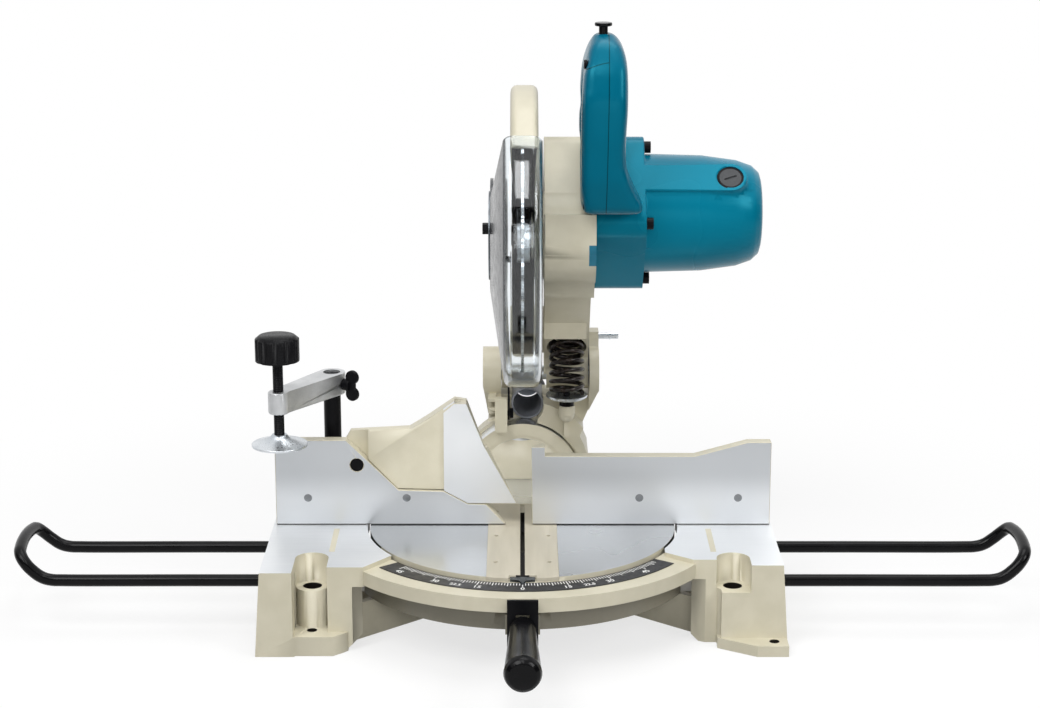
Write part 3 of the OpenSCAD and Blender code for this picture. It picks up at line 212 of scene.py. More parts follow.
# Each flag: its place, its lean in degrees and half its size.
flags = {
    "front_flag": ((0, -3.1, 1.75), (90, 0, 0), (3.2, 0.6, 1)),
    "left_flag": ((-2.3, -0.9, 0.55), (90, 0, 90), (1.3, 0.6, 1)),
    "right_flag": ((2.3, -0.9, 0.6), (90, 0, 90), (1.3, 0.65, 1)),
}
for name, (spot, lean, spread) in flags.items():
    bpy.ops.object.select_all(action="DESELECT")
    bpy.ops.mesh.primitive_plane_add(size=2, location=spot, rotation=[math.radians(turn) for turn in lean])
    flag = bpy.context.object
    flag.scale = spread
    bpy.ops.object.transform_apply(location=True, rotation=True, scale=True)
    flag.name = name
    flag.data.materials.append(felt.material)
    flag.visible_camera = False

# Each lamp: its place, what it points at, its size and its watts.
lamps = {
    "key_lamp": ((-1.2, -1.6, 2.4), (0.05, 0.0, 0.2), (1.4, 1.4), 42),
    "fill_lamp": ((1.9, -1.5, 1.7), (0.05, 0.0, 0.25), (1.0, 1.0), 22),
    "top_lamp": ((0.2, 0.3, 2.4), (0.05, 0.0, 0.2), (1.4, 1.4), 20),
    "strip_lamp": ((0.0, -1.05, 1.75), (0.0, -0.08, 0.42), (0.22, 0.9), 4),
    "front_lamp": ((0.3, -1.9, 0.75), (0.05, 0.05, 0.33), (0.9, 0.6), 10),
}
for name, (spot, aim, size, power) in lamps.items():
    lamp = bpy.data.objects.new(name, bpy.data.lights.new(name, "AREA"))
    lamp.data.shape = "RECTANGLE"
    lamp.data.size, lamp.data.size_y = size
    lamp.data.energy = power
    lamp.location = spot
    lamp.rotation_euler = (Vector(aim) - Vector(spot)).to_track_quat("-Z", "Y").to_euler()
    lamp.visible_glossy = name != "front_lamp"
    bpy.context.collection.objects.link(lamp)

camera = bpy.data.objects.new("camera", bpy.data.cameras.new("camera"))
camera.data.lens = 79.0
camera.data.sensor_width = 36
camera.location = (-0.0023, -2.023, 0.7815)
camera.rotation_euler = (math.radians(75.13), 0, 0)
bpy.context.collection.objects.link(camera)
bpy.context.scene.camera = camera
bpy.context.scene.view_settings.view_transform = "Standard"

# Base casting: one light-alloy casting with two wings, a ring for the scale and hollow ribs below.
# Painted beige all over, and then milled bare on top, where the board lies.


weld = 2e-6
crisp = math.radians(34)


def width_across(edge, face):
    """How far a face runs from the middle of one of its edges, square to that edge."""
    start = (edge.verts[0].co + edge.verts[1].co) / 2
    along = (edge.verts[1].co - edge.verts[0].co).normalized()
    inward = face.normal.cross(along)
    loop = next(l for l in face.loops if l.edge == edge)
    if loop.vert != edge.verts[0]:
        inward.negate()
    found = 1.0
    for other in face.edges:
        if other == edge:
            continue
        a = other.verts[0].co - start
        b = other.verts[1].co - start
        side_a = a.dot(along)
        side_b = b.dot(along)
        if side_a * side_b < 0:
            far = a.dot(inward) + (b.dot(inward) - a.dot(inward)) * side_a / (side_a - side_b)
            if far > 1e-6:
                found = min(found, far)
    return found


def sharp_edges(form, radius, sharp, spare, avoid):
    """The edges that can be eased to a radius: sharp, between faces wide enough, away from tight spots."""
    berth = 4 * radius
    room = 2.1 * radius
    for edge in form.edges:
        if len(edge.link_faces) != 2 or edge.calc_face_angle(0) < math.radians(sharp):
            continue
        middle = (edge.verts[0].co + edge.verts[1].co) / 2
        if spare and spare(middle):
            continue
        if any((corner.co - spot).length < berth for corner in edge.verts for spot in avoid):
            continue
        if min(width_across(edge, face) for face in edge.link_faces) > room:
            yield edge


def folded(mesh, area):
    """Spots where easing has folded a face over, and whether too much surface has come or gone."""
    speck, turned_over, most_lost = 1e-10, 0.6, 0.07
    mesh.calc_loop_triangles()
    spots = []
    for part in mesh.loop_triangles:
        if part.area > speck and part.normal.dot(mesh.polygons[part.polygon_index].normal) < turned_over:
            spots.append(part.center.copy())
    total = sum(part.area for part in mesh.loop_triangles)
    return spots, abs(total / area - 1) > most_lost


def crease_flats(piece, wide=0.012, slight=3):
    """Keeps the line crisp where two wide flat faces meet at a small angle."""
    bpy.ops.object.mode_set(mode="EDIT")
    form = bmesh.from_edit_mesh(piece.data)
    for edge in form.edges:
        if len(edge.link_faces) == 2 and edge.smooth and edge.calc_face_angle(0) > math.radians(slight):
            if min(width_across(edge, face) for face in edge.link_faces) > wide:
                edge.smooth = False
    bmesh.update_edit_mesh(piece.data)
    bpy.ops.object.mode_set(mode="OBJECT")


def eased(node, body, finish, radius=0.0008, spare=None, steps=2, sharp=32):
    """A copy of a CAD node whose sharp edges are eased to a radius, as a cast or moulded piece has them."""
    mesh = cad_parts[node].data.copy()
    mesh.materials.clear()
    mesh.materials.append(finish.material)
    piece = bpy.data.objects.new(node + "_eased", mesh)
    bpy.context.collection.objects.link(piece)
    alone(piece)
    bpy.ops.object.mode_set(mode="EDIT")
    bpy.ops.mesh.select_all(action="SELECT")
    bpy.ops.mesh.remove_doubles(threshold=weld)
    bpy.ops.mesh.dissolve_limited(angle_limit=math.radians(0.4))
    bpy.ops.object.mode_set(mode="OBJECT")
    plain = piece.data.copy()
    plain.calc_loop_triangles()
    area = sum(part.area for part in plain.loop_triangles)
    avoid = []
    tries = 7 if radius else 0
    for attempt in range(tries):
        piece.data = plain.copy()
        bpy.ops.object.mode_set(mode="EDIT")
        bpy.ops.mesh.select_all(action="DESELECT")
        bpy.ops.mesh.select_mode(type="EDGE")
        form = bmesh.from_edit_mesh(piece.data)
        for edge in sharp_edges(form, radius, sharp, spare, avoid):
            edge.select_set(True)
        bmesh.update_edit_mesh(piece.data)
        bpy.ops.mesh.bevel(
            offset_type="OFFSET", offset=radius, segments=steps,
            clamp_overlap=False, face_strength_mode="ALL",
        )
        bpy.ops.object.mode_set(mode="OBJECT")
        spots, lost = folded(piece.data, area)
        if not spots and not lost:
            break
        avoid += spots
        if lost and not spots or attempt == tries - 1:
            piece.data = plain.copy()
            break
    bpy.ops.object.shade_smooth_by_angle(angle=crisp)
    crease_flats(piece)
    settle = piece.modifiers.new("settle", "WEIGHTED_NORMAL")
    settle.mode = "CORNER_ANGLE"
    settle.use_face_influence = True
    settle.keep_sharp = True
    bpy.ops.object.modifier_apply(modifier=settle.name)
    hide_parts(node)
    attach(piece, body)
    return piece


# The near-black laid on as painted shade in gaps, hollows and sockets, under edges and at the fence feet.
painted_shade_black = (0.012, 0.010, 0.008, 1)


def cast_finish(name, bare, shade_and_patch=None, polish=0.3, metal_shade=None, stain=painted_shade_black, metallic=0.9):
    """Beige paint over a cast skin, milled where bare(finish) is 1. Where the second mask is 1 the stain
    colour is laid on:
    painted shade in its near-black default, a coloured patch where another colour is given. Where the third
    mask is 1 the bare metal is darker, a painted shade; the clouds in the bare metal's colour are painted
    blurred reflections."""
    skin = Finish(name)
    speck = skin.grain(900, 2)
    swell = skin.grain(45, 3)
    paint = skin.mix(skin.between(swell, 0.3, 0.7), paint_code(204, 198, 176), paint_code(211, 205, 184))
    if shade_and_patch:
        paint = skin.mix(shade_and_patch(skin), paint, stain)
    # Clouds of darker and lighter metal in the colour: painted blurred reflections. They also vary the
    # roughness.
    reflection_cloud = skin.grain(6.5, 2, 0.5)
    lines = skin.grain(260, 2, 0.5, (0.08, 1.6, 0.08))
    metal = skin.mix(skin.between(reflection_cloud, 0.3, 0.7), (0.76, 0.78, 0.80, 1), (0.90, 0.92, 0.94, 1))
    metal = skin.mix(skin.between(lines, 0.3, 0.75) * 0.2, metal, (0.94, 0.95, 0.96, 1))
    # Darker bare metal where the third mask is 1, a painted shade.
    if metal_shade:
        metal = skin.mix(metal_shade(skin), metal, (0.44, 0.46, 0.48, 1))
    milled = bare(skin)
    paint_rough = skin.between(swell, 0.3, 0.7, 0.34, 0.42)
    metal_rough = skin.between(reflection_cloud, 0.3, 0.7, polish, polish + 0.1)
    skin.surface(
        Base_Color=skin.mix(milled, paint, metal),
        Metallic=milled * metallic,
        Roughness=paint_rough * (1 - milled) + milled * metal_rough,
        Normal=skin.bump(speck * (1 - milled), 0.14, 0.0006),
    )
    return skin


def flat_top(skin, height=0.0785):
    """The level faces at the height of the table."""
    x, y, z = skin.axes()
    nx, ny, nz = skin.axes("Normal")
    return (z > height) * (nz > 0.7)


def base_shade(skin):
    """Dark in the gap round the turntable, inside the two front sockets and in the bench bolt holes."""
    x, y, z = skin.axes()
    nx, ny, nz = skin.axes("Normal")
    dark = (distance(x, y) < 0.1452) * (z > 0.06) * (nz < 0.6)
    sockets = ((-0.189, -0.091), (0.189, -0.091))
    bolt_holes = ((-0.1885, -0.111), (0.225, -0.118))
    for spots, reach, top in ((sockets, 0.0088, 0.0525), (bolt_holes, 0.0046, 0.05)):
        for across, deep in spots:
            dark = dark + (distance(x - across, y - deep) < reach) * (z < top)
    return (dark > 0.5) * 1.0


def wing_top(skin):
    """Milled bare, except for two painted grooves that run front to back."""
    x, y, z = skin.axes()
    groove = (abs(abs(x) - 0.1726) < 0.0026) * (y > -0.074) * (y < -0.011)
    return flat_top(skin) * (1 - groove)


base_skin = cast_finish("beige_cast_milled_top", wing_top, base_shade, 0.36, metallic=0.6)
eased("base_casting", "base", base_skin, 0.0016, lambda spot: spot.z > 0.0788)

# Fences: two tall cast plates behind the table, bolted down from above.
# Their front faces are milled true, and everything else keeps the beige paint.


def true_front(skin):
    """The upright faces that the board leans on."""
    x, y, z = skin.axes()
    nx, ny, nz = skin.axes("Normal")
    return (ny < -0.9) * (z > 0.0801) * (y < 0.006)


def foot_line(skin):
    """The shadow line where a fence stands on its wing."""
    return skin.axes()[2] < 0.0801


def fence_top_painted_reflection(skin):
    """Darker bare metal towards the top, a painted reflection of the dark above the fence."""
    return skin.between(skin.axes()[2], 0.100, 0.132, 0.25, 0.8)


fence_skin = cast_finish("beige_cast_milled_front", true_front, foot_line, 0.3, fence_top_painted_reflection)
eased("fence_left", "base", fence_skin, 0.0009)
eased("fence_right", "base", fence_skin, 0.0009)

# Plugs: the ends of four dowels that line the fences up, ground flush with the milled faces.


def round_pin(sides, radius, length, spot, lean):
    """A short round pin with eased rims, in its place."""
    bpy.ops.object.select_all(action="DESELECT")
    bpy.ops.mesh.primitive_cylinder_add(
        vertices=sides, radius=radius, depth=length, location=spot, rotation=lean
    )
    bpy.ops.object.mode_set(mode="EDIT")
    bpy.ops.mesh.select_all(action="SELECT")
    bpy.ops.mesh.bevel(offset=0.0004, segments=2)
    bpy.ops.object.mode_set(mode="OBJECT")
    bpy.ops.object.transform_apply(location=True, rotation=True, scale=True)
    return bpy.context.object


def joined(pieces, name):
    """Several pieces made into one."""
    alone(pieces[0])
    for piece in pieces:
        piece.select_set(True)
    bpy.ops.object.join()
    whole = bpy.context.object
    whole.name = name
    return whole


dowel_grey = Finish("dowel_ends")
worn = dowel_grey.grain(500, 3)
dowel_grey.surface(
    Base_Color=dowel_grey.mix(worn, (0.16, 0.17, 0.18, 1), (0.27, 0.28, 0.29, 1)),
    Metallic=0.8,
    Roughness=dowel_grey.between(worn, 0.3, 0.7, 0.3, 0.45),
)
ends = []
for across in (-0.200, -0.108, 0.109, 0.201):
    ends.append(round_pin(40, 0.0038, 0.003, (across, 0.0012, 0.1055), (math.pi / 2, 0, 0)))
plugs = joined(ends, "fence_dowels")
bpy.ops.object.shade_smooth_by_angle(angle=crisp)
plugs.data.materials.append(dowel_grey.material)
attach(plugs, "base")

# Sub-fence: a second casting pinned to the left fence, that flips aside for bevel cuts.
# Only its plate beside the blade is milled, and the block by its pin stays painted.


def true_plate(skin):
    """The part of the front beside the blade."""
    x, y, z = skin.axes()
    return true_front(skin) * (x > -0.0732)


plate_skin = cast_finish("beige_cast_milled_plate", true_plate, None, 0.34)
eased("sub_fence", "sub_fence", plate_skin, 0.0012)

# Screws, bolts and levers: black-oxide steel and small zinc-plated parts, rolled and turned.
# The oxide is nearly black with a low sheen, and the zinc shows faint crystals.


def black_steel(name):
    """Steel blacked by oxide, patchy and finely pitted."""
    skin = Finish(name)
    patch = skin.grain(60, 4)
    pits = skin.grain(1500, 2)
    worn = skin.between(patch, 0.3, 0.7)
    skin.surface(
        Base_Color=skin.mix(worn, (0.003, 0.003, 0.004, 1), (0.007, 0.007, 0.008, 1)),
        Roughness=skin.between(patch, 0.3, 0.7, 0.24, 0.36),
        Specular_IOR_Level=0.08,
        Normal=skin.bump(pits, 0.1, 0.0003),
    )
    return skin


def zinc_plate(name, dark=(0.50, 0.54, 0.58, 1), pale=(0.70, 0.73, 0.76, 1)):
    """Zinc plating, stained between two tones."""
    skin = Finish(name)
    sockets = {"Vector": skin.place(), "Scale": 420.0, "Randomness": 1.0}
    crystal = skin.node("ShaderNodeTexVoronoi", {}, sockets)
    stain = skin.grain(40, 3)
    skin.surface(
        Base_Color=skin.mix(skin.between(stain, 0.3, 0.7), dark, pale),
        Metallic=0.95,
        Roughness=skin.between(crystal, 0.0, 0.6, 0.22, 0.34),
        Normal=skin.bump(crystal, 0.015, 0.0003),
    )
    return skin


oxide = black_steel("black_oxide")
zinc = zinc_plate("bright_zinc")
dull_zinc = zinc_plate("dull_zinc", (0.10, 0.115, 0.13, 1), (0.19, 0.21, 0.23, 1))
eased("fence_bolts", "base", oxide, 0.0005)
eased("lock_screws", "base", oxide, 0.0005)
eased("sub_fence_screw", "base", oxide, 0.0004)

# Mitre scale: a thin black plate riveted on the ring, printed in white with a line for each degree.
# The figures are laid on as a separate print, raised a hair above the plate.
scale_print = Finish("scale_print")
x, y, z = scale_print.axes()
turn = scale_print.node("ShaderNodeMath", {"operation": "ARCTAN2"}, {0: x, 1: 0.0 - y}) * (180 / math.pi)
reach = distance(x, y)
line_1 = (abs((turn + 90.5) % 1.0 - 0.5) < 0.15) * (reach < 0.1518)
line_5 = (abs((turn + 92.5) % 5.0 - 2.5) < 0.17) * (reach < 0.1538)
line_15 = (abs((turn + 97.5) % 15.0 - 7.5) < 0.18) * (reach < 0.1550)
marks = ((line_1 + line_5 + line_15) > 0.5) * (reach > 0.1465) * (turn > -45.2) * (turn < 52.2)
fade = scale_print.grain(220, 3)
ink = marks * scale_print.between(fade, 0.2, 0.45, 0.8, 1.0)
scale_print.surface(
    Base_Color=scale_print.mix(ink, (0.010, 0.010, 0.011, 1), (0.88, 0.88, 0.86, 1)),
    Roughness=scale_print.between(fade, 0.3, 0.7, 0.28, 0.42),
    Normal=scale_print.bump(fade, 0.05, 0.0003),
)
eased("scale_plate", "base", scale_print, 0.0002)

figure_white = Finish("figure_white")
figure_white.surface(
    Base_Color=figure_white.mix(figure_white.grain(300, 3), (0.80, 0.80, 0.78, 1), (0.92, 0.92, 0.90, 1)),
    Roughness=0.5,
)
figures = []
figure_ring, plate_top, closer = 0.1597, 0.07582, 0.96
for mark in (-45, -30, -22.5, -15, 0, 15, 22.5, 30, 45):
    words = f"{abs(mark):g}"
    lean = math.radians(mark * closer)
    spot = (figure_ring * math.sin(lean), -figure_ring * math.cos(lean), plate_top)
    bpy.ops.object.select_all(action="DESELECT")
    bpy.ops.object.text_add(location=spot, rotation=(0, 0, lean))
    text = bpy.context.object
    text.data.body = words
    text.data.size = 0.0076 if len(words) < 3 else 0.0062
    text.data.align_x = "CENTER"
    text.data.align_y = "CENTER"
    text.data.extrude = 0.00006
    text.data.offset = 0.00012
    text.data.resolution_u = 4
    bpy.ops.object.convert(target="MESH")
    bpy.ops.object.transform_apply(location=True, rotation=True, scale=True)
    figures.append(bpy.context.object)
figures = joined(figures, "scale_figures")
figures.data.materials.clear()
figures.data.materials.append(figure_white.material)
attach(figures, "base")

# Turntable: a round cast table with an arm that runs forward, turning inside the base ring.
# Milled bare on top like the wings and painted beige on its sides, with painted shade in the slot below the
# inserts, round its rim and under its front.


def table_painted_shade(skin):
    """Painted shade: dark in the slot and on the rim, and dim under the front, where little light comes."""
    x, y, z = skin.axes()
    slot = (abs(x) < 0.019) * (z < 0.0745) * (z > 0.02) * (y > -0.130) * (y < 0.12)
    nx, ny, nz = skin.axes("Normal")
    out = distance(x, y)
    rim = (out > 0.1405) * (z > 0.062) * (z < 0.0789) * (nz < 0.6) * (y > -0.06) * (y < 0.130)
    under = (z < 0.0615) * (y < 0.0) * (out > 0.13) * 0.62
    return ((slot + rim) > 0.5) * 1.0 + under


def table_metal_painted_shade(skin):
    """The bare metal of the table a little darker all over, a painted shade."""
    return skin.axes()[2] * 0 + 0.3


def table_kept_sharp(spot):
    """The milled top, and the notches and teeth round the skirt."""
    return spot.z > 0.0788 or spot.y < 0.135 and 0.03 < spot.z < 0.0625


table_skin = cast_finish("beige_cast_table", flat_top, table_painted_shade, 0.2, table_metal_painted_shade)
eased("turntable", "turntable", table_skin, 0.0012, table_kept_sharp)

# Kerf inserts: two cream plastic strips screwed into the turntable, with the blade's slot between them.
cream = Finish("cream_insert")
rub = cream.grain(120, 3, 0.5, (1, 0.1, 1))
x, y, z = cream.axes()
nx, ny, nz = cream.axes("Normal")
# The walls of the blade's slot are coloured near-black, a painted shade.
slot_wall_shade = (nz < 0.5) * (abs(x) < 0.006)
strip = cream.mix(cream.between(rub, 0.3, 0.7), paint_code(192, 185, 166), paint_code(203, 196, 178))
cream.surface(
    Base_Color=cream.mix(slot_wall_shade, strip, (0.01, 0.009, 0.008, 1)),
    Roughness=cream.between(rub, 0.3, 0.7, 0.36, 0.5),
    Normal=cream.bump(rub, 0.08, 0.0003),
)
eased("kerf_insert_left", "turntable", cream, 0.0003)
eased("kerf_insert_right", "turntable", cream, 0.0003)
eased("mitre_pointer", "turntable", dull_zinc, 0.0003)
eased("turntable_bolt", "turntable", zinc, 0.0005)
eased("bevel_bolt", "turntable", zinc, 0.0005)

# Mitre grip and detent lever: a moulded black grip on a screw that locks the table, and a pressed steel
# lever above it that is pushed down by the thumb to free the notch.


gloss_black = Finish("gloss_black_plastic")
mould = gloss_black.grain(1100, 2)
dust = gloss_black.grain(35, 4)
dusty = gloss_black.between(dust, 0.35, 0.75)
gloss_black.surface(
    Base_Color=gloss_black.mix(dusty, (0.003, 0.003, 0.0035, 1), (0.006, 0.006, 0.007, 1)),
    Roughness=gloss_black.between(dust, 0.3, 0.7, 0.16, 0.26),
    Specular_IOR_Level=0.13,
    Normal=gloss_black.bump(mould, 0.08, 0.0003),
)
eased("mitre_grip", "grip", gloss_black, 0.0015, None, 3)
eased("detent_lever", "detent", oxide, 0.0006)

# Arm: the casting that stands behind the table, tilts for bevel cuts and carries the head's hinge.
# The hollow behind the spring is painted black, as its deep shade and some grease.


def no_metal(skin):
    """Painted all over, with nothing milled."""
    return skin.axes()[2] < -1.0


def hollow_shade_and_grease(skin):
    """Painted shade and grease in the hollow round the spring, fading out at its foot."""
    x, y, z = skin.axes()
    inside = (x > 0.018) * (x < 0.0665) * (y > 0.145)
    return inside * skin.between(z, 0.164, 0.176)


eased("arm", "arm", cast_finish("beige_cast_shade_and_grease", no_metal, hollow_shade_and_grease), 0.0012)
eased("chop_shaft", "arm", zinc, 0.0005)
eased("spring_seat", "arm", zinc, 0.0005)
eased("spring_bush", "arm", gloss_black, 0.0004)

# Return spring: nine curls of round oil-black wire, seated on the arm and bent back with the raised head.
wire = 0.0044
curls = 9
curl_radius = 0.0153
curl_points = 40
seat = Vector((0.0435, 0.130, 0.170))
hinge_behind, hinge_above = 45, 9
chop = math.radians(47.3)
bend = (hinge_behind + hinge_above / math.tan(chop / 2)) / 1000
foot, straight_end = 0.0002, 0.017
spring_line = []
for step in range(curls * curl_points + 1):
    part = step / (curls * curl_points)
    run = foot + (bend * chop + straight_end - foot) * part
    swing = min(run, bend * chop) / bend
    past = max(0.0, run - bend * chop)
    back = bend * (1 - math.cos(swing)) + past * math.sin(chop)
    up = bend * math.sin(swing) + past * math.cos(chop)
    angle = 2 * math.pi * curls * part
    tilt = math.sin(angle)
    outward = Vector((math.cos(angle), tilt * math.cos(swing), -tilt * math.sin(swing)))
    spring_line.append(seat + Vector((0, back, up)) + curl_radius * outward)


def round_bar(name, line, thickness, kind="POLY"):
    """A round wire or rod along a line of points."""
    curve = bpy.data.curves.new(name, "CURVE")
    curve.dimensions = "3D"
    curve.bevel_depth = thickness / 2
    curve.bevel_resolution = 4
    curve.use_fill_caps = True
    spline = curve.splines.new(kind)
    if kind == "BEZIER":
        spline.bezier_points.add(len(line) - 1)
        spline.resolution_u = 10
        for point, spot in zip(spline.bezier_points, line):
            point.co = spot
            point.handle_left_type = "AUTO"
            point.handle_right_type = "AUTO"
    else:
        spline.points.add(len(line) - 1)
        for point, spot in zip(spline.points, line):
            point.co = (*spot, 1)
    bar = bpy.data.objects.new(name, curve)
    bpy.context.collection.objects.link(bar)
    alone(bar)
    bpy.ops.object.convert(target="MESH")
    bpy.ops.object.shade_smooth_by_angle(angle=math.radians(60))
    return bpy.context.object


spring = round_bar("return_spring_wire", spring_line, wire)
spring_black = Finish("oiled_spring_wire")
rust = spring_black.grain(160, 4)
rusty = spring_black.between(rust, 0.35, 0.75)
spring_black.surface(
    Base_Color=spring_black.mix(rusty, (0.010, 0.007, 0.006, 1), (0.030, 0.020, 0.015, 1)),
    Metallic=0.3,
    Roughness=spring_black.between(rust, 0.3, 0.7, 0.14, 0.26),
    Normal=spring_black.bump(rust, 0.06, 0.0004),
)
spring.data.materials.append(spring_black.material)
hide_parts("return_spring")
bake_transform(spring)

# Dust nozzle, bevel lever and stopper pin: what sits behind the arm. A grey moulded spout with a pale
# grey-blue disc at its end, a painted shade for the dim view through the open tube, a black lever that
# locks the tilt, and a plated pin that holds the head down for carrying.
grey_plastic = Finish("grey_moulding")
haze = grey_plastic.grain(50, 3)
pebble = grey_plastic.grain(900, 2)
hazy = grey_plastic.between(haze, 0.3, 0.7)
grey_plastic.surface(
    Base_Color=grey_plastic.mix(hazy, paint_code(112, 115, 122), paint_code(128, 131, 138)),
    Roughness=grey_plastic.between(haze, 0.3, 0.7, 0.4, 0.52),
    Normal=grey_plastic.bump(pebble, 0.12, 0.0004),
)
eased("dust_nozzle", "arm", grey_plastic, 0.0005)

# A pale grey-blue disc in the spout's end, a painted shade for the dim view through the open tube.
tube_view_shade = Finish("tube_view_shade")
disc_mottle = tube_view_shade.grain(60, 3)
disc_mottled = tube_view_shade.between(disc_mottle, 0.3, 0.7)
tube_view_shade.surface(
    Base_Color=tube_view_shade.mix(disc_mottled, paint_code(205, 212, 224), paint_code(218, 224, 235)),
    Roughness=tube_view_shade.between(disc_mottle, 0.3, 0.7, 0.5, 0.65),
)
view_shade_disc = round_pin(48, 0.0139, 0.0018, (0.005, 0.23195, 0.15218), (math.radians(-84), 0, 0))
view_shade_disc.name = "nozzle_view_shade_disc"
bpy.ops.object.shade_smooth_by_angle(angle=crisp)
view_shade_disc.data.materials.append(tube_view_shade.material)
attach(view_shade_disc, "arm")
eased("link_screw", "arm", oxide, 0.0004)
eased("bevel_lever", "bevel_lever", gloss_black, 0.0015, None, 3)
eased("stopper_pin", "stopper", zinc, 0.0005)
eased("guard_link", "link", oxide, 0.0005)

# Gear housing and blade case: the head's main casting, bored for the spindle, with the half-round
# with the half-round case over the blade bolted to it. Cast light alloy, painted beige; the case is painted
# black inside and a little darker outside, as painted shade.
spindle_y, spindle_z = 0.041782, 0.346478


def case_painted_shade(skin):
    """Painted shade: black within the case, and a light shade over the rest of it."""
    x, y, z = skin.axes()
    span = distance(y - spindle_y, z - spindle_z)
    return (x > -0.0095) * (x < 0.0125) * (span < 0.1345) * 0.86 + 0.14


def motor_tab(skin):
    """A tab of the motor's moulding let into the front edge of the housing."""
    x, y, z = skin.axes()
    return (x > 0.0604) * (y < 0.03) * (z > 0.3262) * (z < 0.3464)


housing_skin = cast_finish("beige_cast_housing", no_metal, motor_tab, stain=paint_code(0, 108, 134))
eased("gear_housing", "head", housing_skin, 0.0014, None, 3)
eased("blade_case", "head", cast_finish("beige_cast_case", no_metal, case_painted_shade), 0.0008)
eased("bearing_plate", "head", zinc, 0.0004)

# Motor housing and D handle: glass-filled nylon mouldings in gloss teal. The handle is two halves screwed
# together along its middle, with a cap line over the switch; it is rounded all over for the hand.


def teal_moulding(name, deep, light, line=None):
    """Gloss teal with a faint peel, and a dark groove where line(finish) is 1."""
    skin = Finish(name)
    mist = skin.grain(9, 1)
    peel = skin.grain(700, 2)
    colour = skin.mix(skin.between(mist, 0.3, 0.7), deep, light)
    height = peel * 0.3
    if line:
        gap = line(skin)
        colour = skin.mix(gap, colour, paint_code(0, 44, 56))
        height = height - gap
    skin.surface(
        Base_Color=colour,
        Roughness=skin.between(mist, 0.3, 0.7, 0.26, 0.30),
        Specular_IOR_Level=0.34,
        Specular_Tint=(0.12, 0.85, 1.0, 1.0),
        Normal=skin.bump(height, 0.12, 0.0004),
    )
    return skin


def handle_seam(skin):
    """The line between the two halves, and the arched line of the cap at the top."""
    x, y, z = skin.axes()
    middle = 0.07525 + (z - 0.43) * 0.012
    split = abs(x - middle) < 0.00045
    aside = x - 0.0755
    arch = 0.5145 + aside * 0.12 - aside * aside * 10
    cap = (abs(z - arch) < 0.0005) * (x < middle) * (y < 0.02)
    return ((split + cap) > 0.5) * 1.0


def moulded(name, nodes, voxel, rounds, swell):
    """CAD nodes fused in one skin, rubbed down until their edges are round, then swollen back to size."""
    copies = []
    for node in nodes:
        copies.append(bpy.data.objects.new(name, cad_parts[node].data.copy()))
        bpy.context.collection.objects.link(copies[-1])
    skin = joined(copies, name)
    bpy.ops.object.mode_set(mode="EDIT")
    bpy.ops.mesh.select_all(action="SELECT")
    bpy.ops.mesh.remove_doubles(threshold=weld)
    bpy.ops.object.mode_set(mode="OBJECT")
    fuse = skin.modifiers.new("fuse", "REMESH")
    fuse.mode = "VOXEL"
    fuse.voxel_size = voxel
    bpy.ops.object.modifier_apply(modifier=fuse.name)
    rub_down = skin.modifiers.new("rub_down", "SMOOTH")
    rub_down.factor = 0.5
    rub_down.iterations = rounds
    bpy.ops.object.modifier_apply(modifier=rub_down.name)
    bpy.ops.object.shade_smooth()
    puff = skin.modifiers.new("puff", "DISPLACE")
    puff.mid_level = 0.0
    puff.strength = swell
    bpy.ops.object.modifier_apply(modifier=puff.name)
    skin.data.materials.clear()
    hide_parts(*nodes)
    return skin


# The motor's teal is painted lighter and the handle's darker: lit and shaded copies of one teal, painted
# light and shade.
teal = teal_moulding("teal_moulding", paint_code(2, 110, 136), paint_code(4, 115, 142))
eased("motor_housing", "head", teal, 0.0016, None, 3)
handle = moulded("handle_shell", ("handle_left", "handle_right"), 0.0015, 170, 0.0012)
handle_teal_shaded = teal_moulding("teal_handle_shaded", paint_code(0, 91, 116), paint_code(0, 95, 120), handle_seam)
handle.data.materials.append(handle_teal_shaded.material)
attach(handle, "head")
eased("handle_screws", "head", oxide, 0.0004)
eased("housing_bolts", "head", oxide, 0.0004)
eased("cord_inlet", "head", gloss_black, 0.0006)

# Brush caps: two slotted plugs that hold the carbon brushes, grey with a black rim.
cap_grey = Finish("brush_cap")
x, y, z = cap_grey.axes()
upward = (y - 0.08187) * 0.735 + (z - 0.35966) * 0.678
lathe_marks = cap_grey.grain(300, 3)
rim = cap_grey.between(distance(x - 0.191, upward), 0.0099, 0.0103)
face = cap_grey.mix(lathe_marks, (0.055, 0.058, 0.062, 1), (0.085, 0.088, 0.092, 1))
cap_grey.surface(
    Base_Color=cap_grey.mix(rim, face, (0.006, 0.006, 0.007, 1)),
    Roughness=cap_grey.between(lathe_marks, 0.3, 0.7, 0.4, 0.55),
    Specular_IOR_Level=0.1,
    Normal=cap_grey.bump(rim, 0.3, 0.0008),
)
eased("brush_caps", "head", cap_grey, 0.0005)

# Works inside the housings: stator and brushes, ball bearings and switch, mostly hidden.
works = {
    oxide: ("brushes", "stator"),
    zinc: ("bearings", "spindle", "spindle_gear", "armature"),
    gloss_black: ("switch_body", "fan"),
}
for finish, nodes in works.items():
    for node in nodes:
        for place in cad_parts[node].material_slots:
            place.material = finish.material

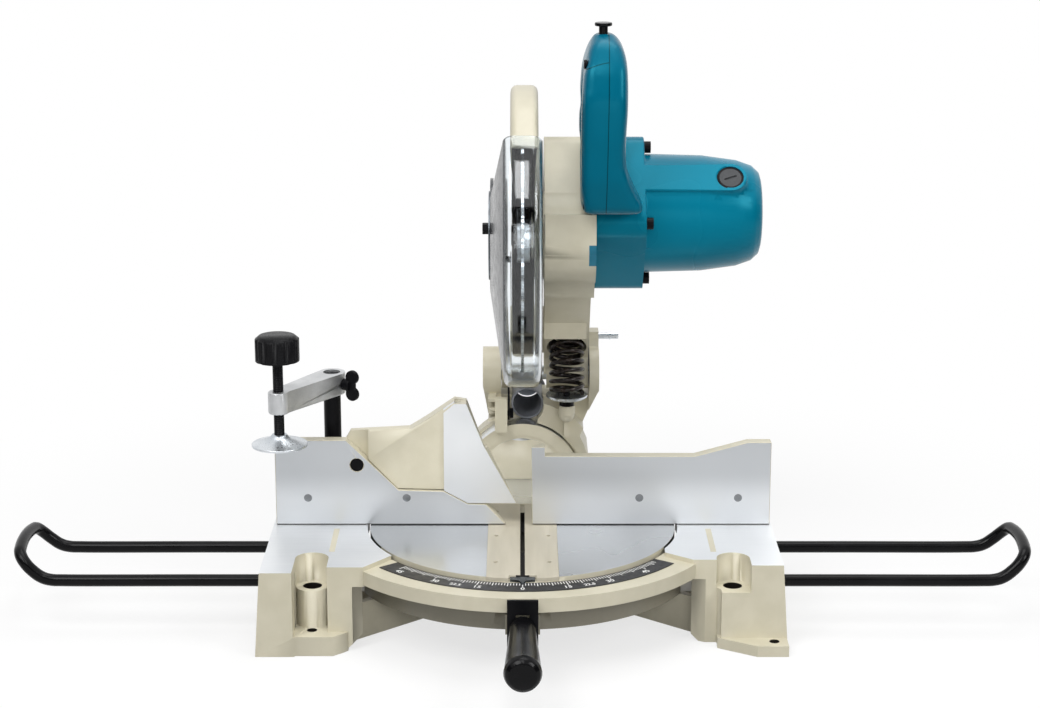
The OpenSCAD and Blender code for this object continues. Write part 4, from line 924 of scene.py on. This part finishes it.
# Saw blade: a ground steel disc with carbide teeth, clamped between two flanges by the arbor bolt.
ground = Finish("ground_blade_steel")
x, y, z = ground.axes()
sockets = {"W": distance(y - spindle_y, z - spindle_z), "Scale": 1600.0, "Detail": 3.0}
rings = ground.node("ShaderNodeTexNoise", {"noise_dimensions": "1D"}, sockets)
ground.surface(
    Base_Color=ground.mix(ground.between(rings, 0.3, 0.7), (0.52, 0.54, 0.56, 1), (0.76, 0.78, 0.80, 1)),
    Metallic=0.95,
    Roughness=ground.between(rings, 0.3, 0.7, 0.22, 0.36),
    Normal=ground.bump(rings, 0.08, 0.0002),
)
eased("saw_blade", "blade", ground, 0.0)
eased("inner_flange", "blade", zinc, 0.0005)
eased("outer_flange", "blade", zinc, 0.0005)
eased("arbor_bolt", "blade", oxide, 0.0005)

# Lower guard: a polycarbonate shell that swings up as the head comes down, with a plate at its hub and a
# peg for the link. Clear at the rim and on the right and darker where seen edge-on; its left wall is an
# opaque dark grey, a painted shade for the dark case and blade seen through the clear plastic.
clear = Finish("clear_guard")
scuff = clear.grain(90, 4)
edge_on = clear.node("ShaderNodeLayerWeight", {}, {"Blend": 0.5}, 1)
tint = clear.mix(clear.between(scuff, 0.3, 0.75), (0.84, 0.89, 0.92, 1), (0.90, 0.94, 0.96, 1))
# Where a wall is seen edge-on its tint goes dark, a painted shade.
clear.surface(
    Base_Color=clear.mix(clear.between(edge_on, 0.55, 0.98, 0.0, 0.85), tint, (0.16, 0.19, 0.22, 1)),
    Roughness=clear.between(scuff, 0.3, 0.7, 0.02, 0.07),
    IOR=1.5,
    Transmission_Weight=1.0,
)
hazed = clear.between(scuff, 0.3, 0.75)
# The left wall: opaque dark grey, a painted shade for the dark case and blade behind it.
see_through_shade = clear.node("ShaderNodeBsdfPrincipled", {}, {
    "Base Color": clear.mix(hazed, (0.045, 0.050, 0.058, 1), (0.085, 0.092, 0.10, 1)),
    "Roughness": clear.between(scuff, 0.3, 0.7, 0.16, 0.28),
    "Specular IOR Level": 0.3,
})
side_wall = clear.between(clear.axes()[0], -0.0172, -0.0150, 0.86, 0.0)
clear_glass = Tone(clear, clear.shader.outputs[0])
walls = clear.node("ShaderNodeMixShader", {}, {0: side_wall, 1: clear_glass, 2: see_through_shade})
clear.feed(clear.output, {"Surface": walls})


def arc(middle, radius, start, end, count=8):
    """Points of an arc in an outline, from one angle to another in degrees."""
    turns = [math.radians(start + (end - start) * k / count) for k in range(count + 1)]
    return [(middle[0] + radius * math.cos(turn), middle[1] + radius * math.sin(turn)) for turn in turns]


def turned(name, outline, start, end, steps):
    """An outline of radius and x in millimetres, spun about the raised spindle between two angles."""
    bpy.ops.object.select_all(action="DESELECT")
    bpy.ops.mesh.primitive_plane_add(size=0.01)
    ring = bpy.context.object
    ring.name = name
    lift = math.radians(start)
    bpy.ops.object.mode_set(mode="EDIT")
    form = bmesh.from_edit_mesh(ring.data)
    bmesh.ops.delete(form, geom=form.verts[:], context="VERTS")
    corners = []
    for out, along in outline:
        ahead, up = out / 1000 * math.cos(lift), out / 1000 * math.sin(lift)
        corners.append(form.verts.new((along / 1000, spindle_y - ahead, spindle_z + up)))
    form.faces.new(corners)
    bmesh.update_edit_mesh(ring.data)
    bpy.ops.mesh.select_all(action="SELECT")
    bpy.ops.mesh.spin(
        steps=steps, angle=math.radians(end - start), center=(0, spindle_y, spindle_z), axis=(1, 0, 0)
    )
    bpy.ops.mesh.select_all(action="SELECT")
    bpy.ops.mesh.remove_doubles(threshold=1e-6)
    bpy.ops.mesh.normals_make_consistent(inside=False)
    bpy.ops.object.mode_set(mode="OBJECT")
    bpy.ops.object.transform_apply(location=True, rotation=True, scale=True)
    return ring


right_bend, left_bend = (132, 8.6), (132, -8.6)
inside, outside, wall_slope = 6.8, 9, -78
shell = [(44, 15.4)] + arc(right_bend, inside, 90, 0) + arc(left_bend, inside, 0, wall_slope)
shell += [(55, -27), (47, -27), (47, -29.2), (55, -29.2)]
shell += arc(left_bend, outside, wall_slope, 0) + arc(right_bend, outside, 0, 90) + [(44, 17.6)]
guard = turned("clear_guard_shell", shell, -100, 50, 96)
collar = turned("guard_collar", [(40.25, 15.1), (46.2, 15.1), (46.2, 17.9), (40.25, 17.9)], 0, 360, 96)
hub = turned("guard_hub", [(12, -29.5), (53, -29.5), (53, -26.7), (12, -26.7)], 0, 360, 96)
link_peg = round_pin(32, 0.003, 0.0167, (-0.02015, 0.03721, 0.32496), (0, math.pi / 2, 0))
guard = joined([guard, collar, hub, link_peg], "clear_guard_shell")
bpy.ops.object.shade_smooth_by_angle(angle=math.radians(30))
guard.data.materials.clear()
guard.data.materials.append(clear.material)
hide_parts("lower_guard")
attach(guard, "guard")
eased("centre_cover", "guard", dull_zinc, 0.0004)
eased("cover_bolt", "guard", oxide, 0.0005)

# Trigger and lock-off button in the handle, moulded in black.
eased("trigger", "trigger", gloss_black, 0.001, None, 3)
eased("lock_off_button", "button", gloss_black, 0.0008, None, 3)

# Vise: a black post in the wing, a cast arm across it, and a screw with a moulded knob and a plated pad.
vise_alloy = Finish("cast_alloy")
sand = vise_alloy.grain(700, 3)
shade = vise_alloy.grain(40, 3)
shaded = vise_alloy.between(shade, 0.3, 0.7)
vise_alloy.surface(
    Base_Color=vise_alloy.mix(shaded, (0.52, 0.53, 0.54, 1), (0.66, 0.67, 0.68, 1)),
    Metallic=0.8,
    Roughness=vise_alloy.between(sand, 0.3, 0.7, 0.34, 0.5),
    Normal=vise_alloy.bump(sand, 0.25, 0.0006),
)
threaded = Finish("threaded_black")
x, y, z = threaded.axes()
low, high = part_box("vise_screw")
from_axis = distance(x - (low[0] + high[0]) / 2, y - (low[1] + high[1]) / 2)
pitch, thread_radius = 0.00175, 0.0066
thread = abs((z / pitch) % 1.0 - 0.5) * (from_axis < thread_radius)
pocks = threaded.grain(900, 2)
threaded.surface(
    Base_Color=threaded.mix(pocks, (0.005, 0.005, 0.006, 1), (0.012, 0.012, 0.013, 1)),
    Roughness=threaded.between(pocks, 0.3, 0.7, 0.22, 0.34),
    Specular_IOR_Level=0.07,
    Normal=threaded.bump(thread + pocks * 0.02, 0.9, 0.0012),
)
eased("vise_post", "vise_post", oxide, 0.0006)
eased("vise_arm", "vise_arm", vise_alloy, 0.0016, None, 3)
eased("vise_screw", "vise_screw", threaded, 0.0008)
eased("vise_pad", "vise_pad", zinc, 0.0004)
eased("vise_thumb_screw", "vise_thumb", oxide, 0.0008)

# Holders: bent round bars, painted black, that pull out of the wings to carry a long board.
rear_bore, front_bore, bore_height = 23, -67, 49
half = [(193, 0, 0), (300, 0, 0), (420, 0, 0), (429, 0, 0.4), (437, 0.2, 2.6), (446, 0.8, 9), (453, 3, 16)]
half += [(457.5, 8, 21.5), (459.5, 17, 24)]
path = [(along, rear_bore - inward, bore_height + rise) for along, inward, rise in half]
path += [(along, front_bore + inward, bore_height + rise) for along, inward, rise in reversed(half)]
for side, node in ((-1, "holder_left"), (1, "holder_right")):
    line = [(side * along / 1000, deep / 1000, up / 1000) for along, deep, up in path]
    rod = round_bar(node + "_rod", line, 0.0112, "BEZIER")
    rod.data.materials.append(gloss_black.material)
    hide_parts(node)
    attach(rod, node)
